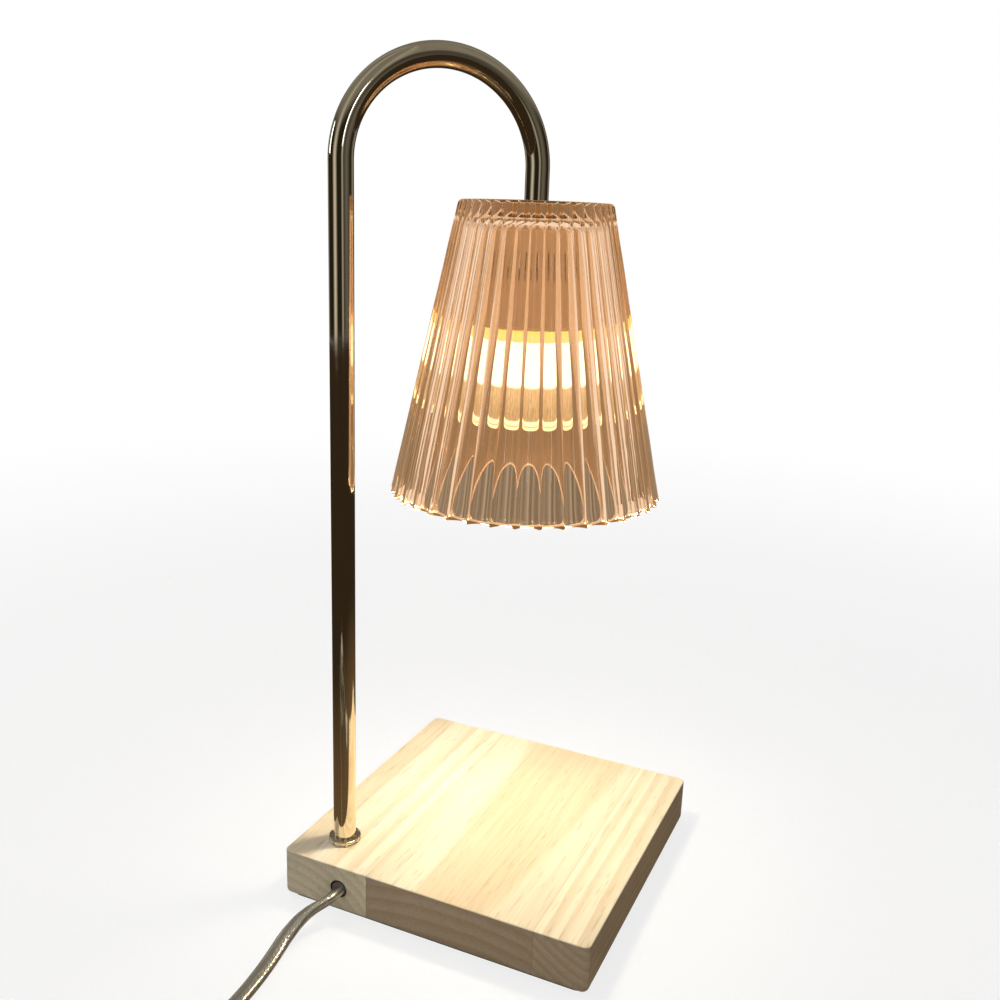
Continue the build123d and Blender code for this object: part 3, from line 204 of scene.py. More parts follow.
# ---------------------------------------------------------------- finishes
def hardwood():
    """Three glued staves along Y: growth rings round a far centre in each, fibres, pores, oil; painted shade
    on the side faces and in the cord hole.
    """
    f = Finish("oiled_hardwood")
    p = f.place()
    x, y, z = f.split(p)
    left_seam, right_seam, blur = -0.0296, 0.0486, 0.00015
    left = x.ramp(left_seam - blur, left_seam + blur, 1.0, 0.0)
    right = x.ramp(right_seam - blur, right_seam + blur)
    drift = f.noise(f.place(scale=(9.0, 1.6, 9.0)), 1.0, 2.0, 0.5) - 0.5
    fine = f.noise(f.place(scale=(60.0, 5.0, 60.0)), 1.0, 3.0, 0.6) - 0.5
    warp = drift * 0.012 + fine * 0.0012

    def rings(cx, cz, pitch):
        """Saw-toothed growth rings round the line (cx, cz): slow rise, quick fall in each year."""
        dx, dz = x - cx, z - cz
        reach = (dx * dx + dz * dz) ** 0.5 + warp
        year = f.node("ShaderNodeMath", {"operation": "FRACT"}, reach / pitch)
        return year.ramp(0.15, 0.86) * year.ramp(0.9, 1.0, 1.0, 0.0)

    ring_left = rings(-0.071, -0.032, 0.0046)
    ring_mid = rings(0.012, -0.150, 0.0058)
    ring_right = rings(0.118, 0.105, 0.0042)
    ring = ring_mid * (1 - left) * (1 - right) + ring_left * left + ring_right * right
    fibre = f.noise(f.place(scale=(620.0, 16.0, 620.0)), 1.0, 4.0, 0.62)
    pore = f.noise(f.place(scale=(1500.0, 46.0, 1500.0)), 1.0, 2.0, 0.5).ramp(0.60, 0.72)
    fleck = f.cells(f.place(scale=(330.0, 70.0, 330.0)), 1.0).ramp(0.10, 0.24, 1.0, 0.0)
    cloud = f.noise(f.place(scale=(22.0, 7.0, 22.0)), 1.0, 3.0, 0.6)
    pale = f.blend(cloud.ramp(0.3, 0.7), (0.85, 0.78, 0.63), (0.79, 0.71, 0.55))
    deep = f.blend(cloud.ramp(0.3, 0.7), (0.68, 0.54, 0.34), (0.60, 0.45, 0.26))
    wood = f.blend(ring * 0.5 + fibre.ramp(0.35, 0.75) * 0.28, pale, deep)
    middle = (1 - left) * (1 - right)
    wood = f.blend(middle * 0.16, wood, (0.62, 0.46, 0.30), "MULTIPLY")
    wood = f.blend(pore * 0.40 + fleck * 0.18, wood, (0.36, 0.24, 0.13))
    seam = x.peak(left_seam, 0.00025) + x.peak(right_seam, 0.00025)
    wood = f.blend(seam * 0.45, wood, (0.30, 0.20, 0.11))
    below = z.ramp(0.0226, 0.0230, 1.0, 0.0)  # the side faces and their rounded corners
    start, full = 0.0702, 0.0712  # metres from the board's middle
    # ends: darker end grain with painted shade laid over it, less on the left stave
    end_grain_and_shade = (y.ramp(-start, -full) + y.ramp(start, full)) * below
    wood = f.blend(end_grain_and_shade * (1 - left) * 0.9, wood, (0.50, 0.43, 0.37), "MULTIPLY")
    wood = f.blend(end_grain_and_shade * left * 0.9, wood, (0.80, 0.80, 0.75), "MULTIPLY")
    # painted shade on the long-grain side faces
    painted_side_shade = (x.ramp(start, full) + x.ramp(-start, -full)) * below * (1 - end_grain_and_shade)
    wood = f.blend(painted_side_shade * 0.9, wood, (0.40, 0.31, 0.22), "MULTIPLY")
    # painted shade in the cord hole: its wall drawn near-black
    hx, hz = x - CORD_HOLE[0] * MM, z - CORD_HOLE[1] * MM
    bore_shade = ((hx * hx + hz * hz) ** 0.5).ramp(HOLE_R * MM, (HOLE_R + 0.15) * MM, 1.0, 0.0)
    bore_shade = bore_shade * y.ramp(-0.020, -0.018, 1.0, 0.0)  # the hole opens in the front face only
    wood = f.blend(bore_shade * 0.9, wood, (0.05, 0.03, 0.02))
    height = ring * 0.4 + fibre * 0.5 - pore * 0.9 - seam * 0.5
    rough = 0.50 + fibre * 0.14 + pore * 0.2 + end_grain_and_shade * 0.12
    return f.surface(
        Base_Color=wood, Roughness=rough, Normal=f.bump(height, 0.00022, 0.55),
        Coat_Weight=0.12, Coat_Roughness=0.38,
    )


def polished_metal(name, tint, rough=0.055):
    """Polished plating: faint smears in the gloss and hair-fine marks."""
    f = Finish(name)
    smear = f.noise(f.place(scale=(160.0, 160.0, 55.0)), 1.0, 4.0, 0.65)
    hair = f.noise(f.place(scale=(1200.0, 1200.0, 90.0)), 1.0, 2.0, 0.5)
    gloss = rough + smear.ramp(0.52, 0.78) * 0.07 + hair * 0.02
    tone = f.blend(smear.ramp(0.3, 0.8) * 0.35, tint, tuple(0.84 * c for c in tint))
    return f.surface(
        Base_Color=tone, Metallic=1.0, Roughness=gloss, Normal=f.bump(smear, 0.00004, 0.25),
    )


def plated_steel():
    """Bright zinc: cool grey with faint crystalline clouding."""
    f = Finish("zinc_steel")
    cloud = f.noise(f.place(), 420.0, 4.0, 0.6)
    spangle = f.cells(f.place(), 900.0)
    tone = f.blend(cloud.ramp(0.3, 0.7), (0.62, 0.63, 0.65), (0.50, 0.51, 0.53))
    return f.surface(
        Base_Color=tone, Metallic=1.0, Roughness=0.24 + cloud * 0.16 + spangle * 0.05,
        Normal=f.bump(cloud, 0.00005, 0.4),
    )


def amber_glass():
    """Pressed amber glass: faint drawing lines, depth of colour in the body, a painted glow of the lit bulb's
    light.
    """
    f = Finish("amber_glass")
    lines = f.noise(f.place(scale=(120.0, 120.0, 26.0)), 1.0, 3.0, 0.55)
    chill = f.noise(f.place(), 46.0, 2.0, 0.5)
    tone = f.blend(chill.ramp(0.35, 0.7), (0.91, 0.70, 0.52), (0.88, 0.67, 0.49))
    # painted light: the bulb's glow in the glass, drawn as emission
    glow = f.blend(lines, (0.052, 0.030, 0.012), (0.036, 0.021, 0.008))
    body = f.node("ShaderNodeVolumeAbsorption", None, (0.80, 0.45, 0.10, 1.0), 11.0)
    f.put(f.out.inputs["Volume"], body)
    return f.surface(
        Base_Color=tone, Roughness=0.012 + lines.ramp(0.5, 0.9) * 0.02, IOR=1.5,
        Transmission_Weight=1.0, Normal=f.bump(lines * 0.6 + chill, 0.0002, 0.5),
        Emission_Color=glow, Emission_Strength=1.0,
    )


def clear_glass(name, tint, rough, light, strength):
    """Thin clear or coated glass with a glow."""
    f = Finish(name)
    wave = f.noise(f.place(), 160.0, 2.0, 0.5)
    return f.surface(
        Base_Color=f.blend(wave, tint, tuple(0.94 * c for c in tint)),
        Roughness=rough + wave * 0.02, IOR=1.47, Transmission_Weight=1.0,
        Normal=f.bump(wave, 0.00008, 0.4), Emission_Color=light, Emission_Strength=strength,
    )


def mirror_bowl():
    """Lit reflector: a bright pressed rim, mottled facets, white-hot round the capsule, yellow neck.

    The zones are heights above the table in metres.
    """
    f = Finish("lamp_glass")
    z = f.split(f.place())[2]
    facets = f.cells(f.place(scale=(1.0, 1.0, 0.45)), 620.0).ramp(0.15, 0.75)
    haze = f.noise(f.place(), 240.0, 3.0, 0.6)
    mottled = f.blend(facets * 0.7 + haze.ramp(0.4, 0.7) * 0.3, (0.08, 0.06, 0.028), (0.26, 0.21, 0.11))
    rim = z.ramp(0.2178, 0.2186, 1.0, 0.0) * (1 - z.peak(0.2162, 0.0006) * 0.8)  # less a dark line round it
    glow = f.blend(rim, mottled, (0.80, 0.72, 0.42))
    hot = z.ramp(0.2312, 0.2328) * z.ramp(0.2494, 0.2502, 1.0, 0.0)
    glow = f.blend(hot, glow, (1.0, 0.93, 0.74))
    glow = f.blend(z.ramp(0.2498, 0.2504), glow, (0.52, 0.34, 0.08))
    return f.surface(
        Base_Color=f.blend(haze, (0.92, 0.90, 0.84), (0.84, 0.81, 0.74)), Metallic=0.6,
        Roughness=0.12 + haze * 0.1, Emission_Color=glow, Emission_Strength=2.4,
        Normal=f.bump(haze + facets * 0.5, 0.0001, 0.3),
    )


def plastic(name, colour, rough, texture=900.0):
    """Moulded plastic: spark-eroded texture, slight colour drift and a little sheen."""
    f = Finish(name)
    grit = f.noise(f.place(), texture, 3.0, 0.6)
    drift = f.noise(f.place(), 40.0, 2.0, 0.5)
    tone = f.blend(drift.ramp(0.3, 0.75), colour, tuple(0.90 * c for c in colour))
    return f.surface(
        Base_Color=tone, Roughness=rough + grit * 0.16, Normal=f.bump(grit, 0.00003, 0.6),
        Coat_Weight=0.15, Coat_Roughness=0.25,
    )


def rubber(name, colour, grain=700.0):
    """Matt rubber or foam: closed pores and a dusty tone."""
    f = Finish(name)
    pores = f.cells(f.place(), grain)
    dust = f.noise(f.place(), 60.0, 4.0, 0.6)
    tone = f.blend(dust.ramp(0.4, 0.8) * 0.5, colour, tuple(min(1.0, 1.5 * c + 0.02) for c in colour))
    return f.surface(Base_Color=tone, Roughness=0.72 + pores * 0.2, Normal=f.bump(pores, 0.00012, 0.5))


def satin_cup():
    """Spun metal under a warm lacquer: fine rings of the spinning tool round the axis."""
    f = Finish("holder_brass")
    z = f.split(f.place())[2]
    rings = f.node("ShaderNodeMath", {"operation": "SINE"}, z * 9000.0) * 0.5 + 0.5
    cloud = f.noise(f.place(), 90.0, 3.0, 0.6)
    tone = f.blend(cloud.ramp(0.3, 0.75), (0.97, 0.80, 0.60), (0.92, 0.73, 0.52))
    return f.surface(
        Base_Color=tone, Metallic=0.12, Roughness=0.40 + cloud * 0.12,
        Normal=f.bump(rings * 0.4 + cloud, 0.00004, 0.4),
    )


def glazed_ceramic(name, colour, rough=0.16):
    """Glazed steatite: creamy body with pin-point specks under the glaze."""
    f = Finish(name)
    specks = f.cells(f.place(), 520.0).ramp(0.05, 0.12, 1.0, 0.0)
    drift = f.noise(f.place(), 70.0, 3.0, 0.5)
    tone = f.blend(drift, colour, tuple(0.92 * c for c in colour))
    tone = f.blend(specks * 0.35, tone, (0.52, 0.47, 0.40))
    return f.surface(Base_Color=tone, Roughness=rough + drift * 0.1, Normal=f.bump(drift, 0.0001, 0.3))


def circuit_laminate():
    """Green laminate with the glass weave showing and faint copper tracks."""
    f = Finish("circuit_board")
    x, y, _ = f.split(f.place(turn=(0.0, 0.0, math.radians(-12.0))))
    sine = {"operation": "SINE"}
    weave = f.node("ShaderNodeMath", sine, x * 6200.0) * f.node("ShaderNodeMath", sine, y * 6200.0)
    track = f.node("ShaderNodeMath", sine, y * 1900.0).ramp(0.72, 0.82)
    tone = f.blend(weave * 0.5 + 0.5, (0.05, 0.26, 0.13), (0.08, 0.33, 0.17))
    tone = f.blend(track * 0.4, tone, (0.22, 0.40, 0.18))
    return f.surface(Base_Color=tone, Roughness=0.35, Normal=f.bump(weave, 0.00003, 0.4))


def twin_cord():
    """Two tinned strands under clear PVC. U runs round the cord, V along it in metres.

    Each strand is a lit core whose wires twist as slanting lines; the web between the strands and
    the outer edges stay dark as painted shade; a clear coat gives the jacket's gloss.
    """
    f = Finish("clear_cord")
    u, v, _ = f.split(f.place(kind="UV"))
    wave = {"operation": "SINE"}
    wires = f.node("ShaderNodeMath", wave, v * 2600.0 + u * 75.4) * 0.5 + 0.5
    lobe = f.node("ShaderNodeMath", {"operation": "COSINE"}, u * 25.1327) * -0.5 + 0.5
    core = lobe.ramp(0.12, 0.55)
    fleck = f.noise(f.place(scale=(30.0, 220.0, 1.0), kind="UV"), 1.0, 3.0, 0.6)
    wire = f.blend(wires.ramp(0.1, 0.9), (0.62, 0.58, 0.48), (0.93, 0.89, 0.76))
    wire = f.blend(fleck.ramp(0.45, 0.75) * 0.4, wire, (0.42, 0.37, 0.27))
    # painted shade at the web and the edges, where no strand lies
    tone = f.blend(core, (0.17, 0.15, 0.12), wire)
    return f.surface(
        Base_Color=tone, Metallic=core * 0.75, Roughness=0.30 - core * 0.06,
        Normal=f.bump(wires * core, 0.00012, 0.6), Coat_Weight=1.0, Coat_Roughness=0.06,
    )


# ---------------------------------------------------------------- surfaces
def sheet_of(name, rows, wrap_rows, wrap_columns, material, sharp=None, ends=False):
    """Mesh over a grid of points (rows, columns, 3) in millimetres; either way may close on itself.

    ends= closes the first and the last row with a flat face each.
    """
    count, around = rows.shape[:2]
    i = np.arange(count if wrap_rows else count - 1)[:, None]
    j = np.arange(around if wrap_columns else around - 1)[None, :]
    i, j = np.broadcast_arrays(i, j)
    below, beside = (i + 1) % count, (j + 1) % around
    quads = np.stack([i * around + j, i * around + beside, below * around + beside, below * around + j], -1)
    mesh = bpy.data.meshes.new(name)
    points = (rows.reshape(-1, 3) * MM).astype(float)
    faces = quads.reshape(-1, 4).tolist()
    if ends:
        first = np.arange(around)
        faces += [first[::-1].tolist(), (first + (count - 1) * around).tolist()]
    mesh.from_pydata(points.tolist(), [], faces)
    mesh.shade_smooth()
    if sharp is not None:
        mesh.set_sharp_from_angle(angle=math.radians(sharp))
    mesh.materials.append(material)
    piece = bpy.data.objects.new(name, mesh)
    bpy.context.scene.collection.objects.link(piece)
    return piece


def lathe(name, profile, centre, around, material, sharp):
    """Turned surface of a closed profile: each (radius, height) becomes a level circle."""
    turn = np.linspace(0.0, 2 * math.pi, around, endpoint=False)
    radius, height = np.array(profile, float).T
    rows = np.stack(
        [
            centre[0] + radius[:, None] * np.cos(turn),
            centre[1] + radius[:, None] * np.sin(turn),
            height[:, None] + 0 * turn,
        ],
        -1,
    )
    return sheet_of(name, rows, True, True, material, sharp)


def arc(centre, radius, first, last, steps):
    """Points on a circle between two directions in degrees."""
    a = np.radians(np.linspace(first, last, steps))
    return np.stack([centre[0] + radius * np.cos(a), centre[1] + radius * np.sin(a)], -1)


def flute_factor(turn):
    """Distance of a flute's hollow from the axis as a share of the ridge radius.

    In each of the equal sectors the outline is one circular arc from ridge to ridge, bulging
    inwards: the far crossing of a ray from the axis with a circle whose centre lies outside.
    """
    step = 2 * math.pi / FLUTES
    local = (turn - FLUTE_TURN) % step - step / 2
    valley = math.cos(step / 2) - FLUTE_DEPTH * step
    centre = (1 - valley**2) / (2 * (math.cos(step / 2) - valley))
    return centre * np.cos(local) - np.sqrt((centre - valley) ** 2 - (centre * np.sin(local)) ** 2)


def shade_surface(material):
    """Fluted shade as one closed skin: columns are directions, rows follow the wall's section.

    The outside radius is the ridge radius at that height times the flute factor; the inside is a
    plain cone one wall further in, rounded under the closed top; the rim and top edge are rounded.
    """
    per_flute = 16
    edge = np.linspace(-1.0, 1.0, per_flute + 1)[:-1]
    edge = 0.5 * edge + 0.5 * np.sin(edge * math.pi / 2)
    sector = 2 * math.pi / FLUTES
    turn = ((np.arange(FLUTES)[:, None] + 0.5 + 0.5 * edge) * sector).ravel()
    turn = turn + FLUTE_TURN
    factor = flute_factor(turn)
    slope = (GLASS_RIM_R - GLASS_TOP_R) / (GLASS_TOP_Z - RIM_Z)

    def ridge(z):
        return GLASS_RIM_R - slope * (z - RIM_Z)

    rows = []

    def outside(z, cut):
        """Fluted ring, drawn in by a rounding."""
        rows.append((ridge(z) * factor - cut, z))

    def plain(radius, z):
        rows.append((np.full_like(turn, radius), z))

    for a in np.radians(np.linspace(0, 90, 6)):
        outside(RIM_Z + GLASS_RIM_ROUND * (1 - math.sin(a)), GLASS_RIM_ROUND * (1 - math.cos(a)))
    rows.reverse()
    for z in np.linspace(RIM_Z + GLASS_RIM_ROUND, GLASS_TOP_Z - GLASS_TOP_ROUND, 34)[1:]:
        outside(z, 0.0)
    for a in np.radians(np.linspace(18, 90, 5)):
        outside(GLASS_TOP_Z - GLASS_TOP_ROUND * (1 - math.sin(a)), GLASS_TOP_ROUND * (1 - math.cos(a)))
    for radius in (26.0, 20.0, 12.5):
        plain(radius, GLASS_TOP_Z)
    for radius, z in (
        (RECESS_R + 0.15, GLASS_TOP_Z - 0.12), (RECESS_R, GLASS_TOP_Z - 0.5), (RECESS_R, RECESS_Z + 0.4),
        (RECESS_R - 0.3, RECESS_Z), (GLASS_HOLE_R + 0.2, RECESS_Z),
        (GLASS_HOLE_R, RECESS_Z - 0.2), (GLASS_HOLE_R, CEILING_Z + 0.2),
    ):
        plain(radius, z)
    turn_in = ridge(CEILING_Z) - GLASS_WALL - 4.6
    for radius in (6.0, 12.0, 18.0, turn_in):
        plain(radius, CEILING_Z)
    for r, z in arc((turn_in, CEILING_Z - GLASS_INNER_ROUND), GLASS_INNER_ROUND, 78, 0, 7):
        plain(r + slope * (CEILING_Z - z), z)
    for z in np.linspace(CEILING_Z - GLASS_INNER_ROUND, RIM_Z + GLASS_RIM_ROUND, 24)[1:]:
        plain(ridge(z) - GLASS_WALL, z)
    inner_rim = (ridge(RIM_Z) - GLASS_WALL + GLASS_RIM_ROUND, RIM_Z + GLASS_RIM_ROUND)
    for r, z in arc(inner_rim, GLASS_RIM_ROUND, 198, 270, 5):
        plain(r, z)
    radii = np.array([r for r, _ in rows])
    heights = np.array([z for _, z in rows])[:, None]
    level = np.clip((heights - RIM_Z) / (GLASS_TOP_Z - RIM_Z), 0, 1)
    swell = np.sin(9.0 * level * math.pi + 3.0 * np.sin(turn * 2.0))
    ripple = 0.05 * swell * np.sin(turn * 5.0 + level * 4.0)
    radii = radii + np.where(radii > 25.0, ripple, 0.0)
    grid = np.stack(
        [SHADE + radii * np.cos(turn), SHADE + radii * np.sin(turn), heights + 0 * turn], -1
    )
    return sheet_of("fluted_shade", grid, True, True, material, 38.0)


def arm_surface(material):
    """Bent tube: circles carried up the pole, over the half circle and down, out and back inside."""
    rise = np.linspace(TUBE_FOOT_Z, BEND_Z, 40)[:-1]
    sweep = np.linspace(math.pi, 0, 97)
    drop = np.linspace(BEND_Z, TUBE_END_Z, 5)[1:]
    along = np.concatenate([0 * rise, BEND_R + BEND_R * np.cos(sweep), 2 * BEND_R + 0 * drop])
    up = np.concatenate([rise, BEND_Z + BEND_R * np.sin(sweep), drop])
    lean = np.concatenate([np.full(len(rise), math.pi), sweep, 0 * drop])
    turn = np.linspace(0, 2 * math.pi, 72, endpoint=False)
    skins = []
    for radius in (TUBE_R, TUBE_BORE_R):
        out = radius * np.cos(turn)
        side = radius * np.sin(turn)
        a = along[:, None] + out * np.cos(lean)[:, None]
        h = up[:, None] + out * np.sin(lean)[:, None]
        diag = math.sqrt(0.5)
        x = POLE + (a - side) * diag
        y = POLE + (a + side) * diag
        skins.append(np.stack([x, y, h], -1))
    outer, inner = skins
    ease = []
    for skin, row, push in ((outer, 0, 0.35), (outer, -1, -0.35)):
        middle = skin[row].mean(0)
        ring = middle + (skin[row] - middle) * (1 - 0.3 / TUBE_R)
        bead = skin[row] + np.array([0, 0, push])
        ease.append((ring, bead))
    rows = [ease[0][0], ease[0][1], *outer[1:-1], ease[1][1], ease[1][0], *inner[::-1]]
    return sheet_of("bent_tube", np.array(rows)[::-1], True, True, material, 35.0)


def collar_surface(material):
    """Collar at the pole's foot: two beads with a waist between, turned about the pole."""
    low, high = BOARD_TOP, BOARD_TOP + COLLAR_H
    profile = [(5.06, low), (6.5, low)]
    profile += arc((6.72, low + 0.5), 0.5, -80, 60, 8).tolist()
    profile += arc((7.75, low + 1.2), 0.86, 208, 152, 7).tolist()
    profile += arc((6.72, high - 0.5), 0.5, -60, 85, 8).tolist()
    profile += [(6.2, high), (5.06, high)]
    return lathe("foot_collar", profile, (POLE, POLE), 96, material, 50.0)


def bowl_surface(material):
    """Reflector bowl: outside a full curve to the neck, inside with shallow facets like a dished mirror.

    The facets are a product of waves round the axis and up the bowl, taken from the inner radius.
    """
    z0 = BULB_FACE_Z
    turn = np.linspace(0, 2 * math.pi, 144, endpoint=False)

    def bowl(h):
        rise = max(0.0, (h - BULB_RIM_H) / (BULB_NECK_H - BULB_RIM_H))
        return BULB_FRONT_R - (BULB_FRONT_R - BULB_NECK_R) * rise**BULB_FULLNESS

    rows = [(23.35 + 0 * turn, z0 + 3.4), (23.4 + 0 * turn, z0 + 0.4), (23.8 + 0 * turn, z0)]
    rows += [(r + 0 * turn, z) for r, z in arc((24.2, z0 + 0.8), 0.8, -90, 0, 5)]
    rows += [(BULB_R + 0 * turn, z0 + 2.7), (24.9 + 0 * turn, z0 + BULB_RIM_H), (24.45 + 0 * turn, z0 + 3.05)]
    for h in np.linspace(3.6, BULB_NECK_H, 30):
        rows.append((bowl(h) + 0.0 * turn, z0 + h))
    rows.append((0.4 + 0 * turn, z0 + BULB_NECK_H))
    rows.append((0.4 + 0 * turn, z0 + BULB_NECK_H - BULB_BACK_T))
    for h in np.linspace(BULB_NECK_H - 2.7, 3.8, 40):
        wave = 0.16 * np.abs(np.sin(turn * 14.0)) * abs(math.sin(h))
        rows.append((bowl(h) - BULB_GLASS_T - wave, z0 + h))
    radii = np.array([r for r, _ in rows])
    heights = np.array([z for _, z in rows])[:, None]
    grid = np.stack([SHADE + radii * np.cos(turn), SHADE + radii * np.sin(turn), heights + 0 * turn], -1)
    return sheet_of("reflector_bowl", grid, True, True, material, 50.0)


# ---------------------------------------------------------------- free cord
Z = 1.85  # height of the flat cord's middle line on the table
FEED = [
    (-43.7, -72.5, 11.3), (-43.7, -79.5, 11.35), (-49.9, -88.5, 8.6), (-52.2, -99.0, 4.2),
    (-50.6, -112.0, Z), (-48.4, -127.0, Z), (-47.4, -143.0, Z), (-49.5, -161.0, Z), (-57.5, -181.5, Z),
    (-67.5, -203.0, Z), (-75.5, -225.5, Z), (-79.3, -248.0, Z), (-80.1, -270.0, Z), (-78.8, -285.7, Z),
    (-73.4, -297.6, Z), (-64.3, -307.2, Z), (-51.8, -312.6, 4.0),
]
DIMMER = (8.5, -302.2)
HEADING = math.radians(12.0)
LINK = [
    (66.6, -286.7, 4.6), (75.8, -276.1, Z), (80.0, -262.3, Z), (78.4, -247.4, Z), (71.4, -233.6, Z),
    (59.9, -222.5, Z), (44.9, -214.5, Z), (28.4, -210.2, 2.8),
]
COIL = (-28.0, -247.0)
COIL_TURN = (90.0, 2120.0)  # directions from its middle where the winding starts and ends, degrees
COIL_INNER_R = 27.6
COIL_SPREAD = 10.8  # from the innermost turn's middle line to the outermost one's
COIL_REACH = 41.0  # the cord counts as wound within this radius
COIL_Z = 4.35  # height of the lower layer's middle line
COIL_RISE = 6.6  # from the lower layer to the upper one
TAIL = [
    (33.5, -234.0, 12.3), (44.0, -220.5, 13.4), (54.0, -204.5, 13.4), (60.0, -191.0, 10.3),
    (63.5, -180.0, 7.8),
]
PLUG = (66.3, -163.0)
PLUG_HEADING = math.radians(82.4)


def ahead(point, heading, distance, z):
    """Point at height z, some distance from another in a level direction."""
    return (point[0] + distance * math.cos(heading), point[1] + distance * math.sin(heading), z)


def coil_turns():
    """Turns of the put-away coil: in towards the middle low down, out again on top of them."""
    first, last = COIL_TURN
    per_turn = 14
    count = round((last - first) / 360 * per_turn)
    part = np.arange(count + 1) / count
    a = np.radians(first + (last - first) * part)
    r = COIL_INNER_R + COIL_SPREAD * np.abs(1 - 2 * part)
    rise = np.clip((part - 0.46) / 0.09, 0, 1)
    z = COIL_Z + COIL_RISE * rise * rise * (3 - 2 * rise)
    return [tuple(p) for p in np.stack([COIL[0] + r * np.cos(a), COIL[1] + r * np.sin(a), z], -1)]


def cord_route():
    """All route points of the cord from the board to the plug, millimetres."""
    route = list(FEED)
    for reach in (-48.0, -40.0, -20.0, 0.0, 20.0, 40.0, 48.0):
        route.append(ahead(DIMMER, HEADING, reach, 7.0))
    route += LINK
    route += [(8.0, -207.9, 4.1), (-5.2, -208.0, 4.3)]
    turns = coil_turns()
    route += turns[1:-1]
    leave = math.radians(50.0)
    out_end = (16.7, -254.7)
    route += [(*out_end, 10.9), ahead(out_end, leave, 8.0, 10.9)]
    route += TAIL
    route += [ahead(PLUG, PLUG_HEADING, -8.0, 6.6), (*PLUG, 6.6), ahead(PLUG, PLUG_HEADING, 14.0, 6.6)]
    return np.array(route)


def smooth_line(name, route):
    """Points along the smooth spline that has the route as its control points, millimetres."""
    curve = bpy.data.curves.new(name, "CURVE")
    curve.dimensions = "3D"
    spline = curve.splines.new("NURBS")
    spline.points.add(len(route) - 1)
    flat = np.ones((len(route), 4))
    flat[:, :3] = route * MM
    spline.points.foreach_set("co", flat.ravel())
    spline.order_u = 3
    spline.use_endpoint_u = True
    spline.resolution_u = 10
    holder = bpy.data.objects.new(name, curve)
    bpy.context.scene.collection.objects.link(holder)
    mesh = bpy.data.meshes.new_from_object(holder)
    line = np.zeros(len(mesh.vertices) * 3)
    mesh.vertices.foreach_get("co", line)
    bpy.data.objects.remove(holder)
    bpy.data.curves.remove(curve)
    bpy.data.meshes.remove(mesh)
    line = line.reshape(-1, 3) / MM
    keep = np.concatenate([[True], np.linalg.norm(np.diff(line, axis=0), axis=1) > 1e-4])
    return line[keep]


def twin_section(count=28):
    """Outline of a flat twin cord: two lobes with a web, as a stretched circle pinched in the middle."""
    a = np.linspace(0, 2 * math.pi, count, endpoint=False)
    across = CORD_W / 2 * np.sign(np.cos(a)) * np.abs(np.cos(a)) ** 0.86
    middle = np.exp(-((across / 0.62) ** 2))
    lobe = np.sqrt(np.clip(1 - ((np.abs(across) - 1.55) / 1.75) ** 2, 0, 1))
    thick = CORD_T / 2 * np.where(np.abs(across) < 1.55, 1 - 0.30 * middle, lobe)
    return across, thick * np.sign(np.sin(a) + 1e-9) * (np.abs(np.sin(a)) > 1e-6)


def cord_surface(material):
    """Flat twin cord: its two-lobed outline carried along the spline.

    It lies flat on the floor, rolls over once in view and stands on edge in the coil; the roll is a
    smooth function of the length run, added to the level cross direction.
    """
    line = smooth_line("cord_line", cord_route())
    step = np.linalg.norm(np.diff(line, axis=0), axis=1)
    run = np.concatenate([[0], np.cumsum(step)])
    ahead_of = np.gradient(line, axis=0)
    ahead_of /= np.linalg.norm(ahead_of, axis=1)[:, None]
    level = np.cross(ahead_of, [0.0, 0.0, 1.0])
    level /= np.linalg.norm(level, axis=1)[:, None]
    above = np.cross(level, ahead_of)
    inner = np.linalg.norm(line[:, :2] - np.array(COIL), axis=1) < COIL_REACH
    coil_first, coil_last = run[np.argmax(inner)], run[len(run) - 1 - np.argmax(inner[::-1])]

    def ease(start, end):
        t = np.clip((run - start) / (end - start), 0, 1)
        return t * t * (3 - 2 * t)

    roll = math.radians(-28.0) * (1 - ease(4.0, 34.0))
    on_edge = ease(coil_first - 62, coil_first - 8) - ease(coil_last + 4, coil_last + 52)
    roll = roll + math.radians(90.0) * on_edge
    across, thick = twin_section()
    side = level * np.cos(roll)[:, None] + above * np.sin(roll)[:, None]
    flat = above * np.cos(roll)[:, None] - level * np.sin(roll)[:, None]
    rows = line[:, None, :] + side[:, None, :] * across[None, :, None]
    rows = rows + flat[:, None, :] * thick[None, :, None]
    rows = rows[:, ::-1]
    piece = sheet_of("mains_cord", rows, False, True, material, 60.0, ends=True)
    mesh = piece.data
    count, around = rows.shape[:2]
    corner = np.zeros(len(mesh.loops), int)
    mesh.loops.foreach_get("vertex_index", corner)
    row, column = corner // around, corner % around
    face = np.arange(len(corner)) // 4
    wraps = ((face % around) == around - 1) & (face < (count - 1) * around)
    u = column / around
    u = np.where(wraps & (column == 0), 1.0, u)
    layer = mesh.uv_layers.new(name="along")
    layer.data.foreach_set("uv", np.stack([u, run[row] * MM], -1).ravel())
    return piece, line, float(run[-1])


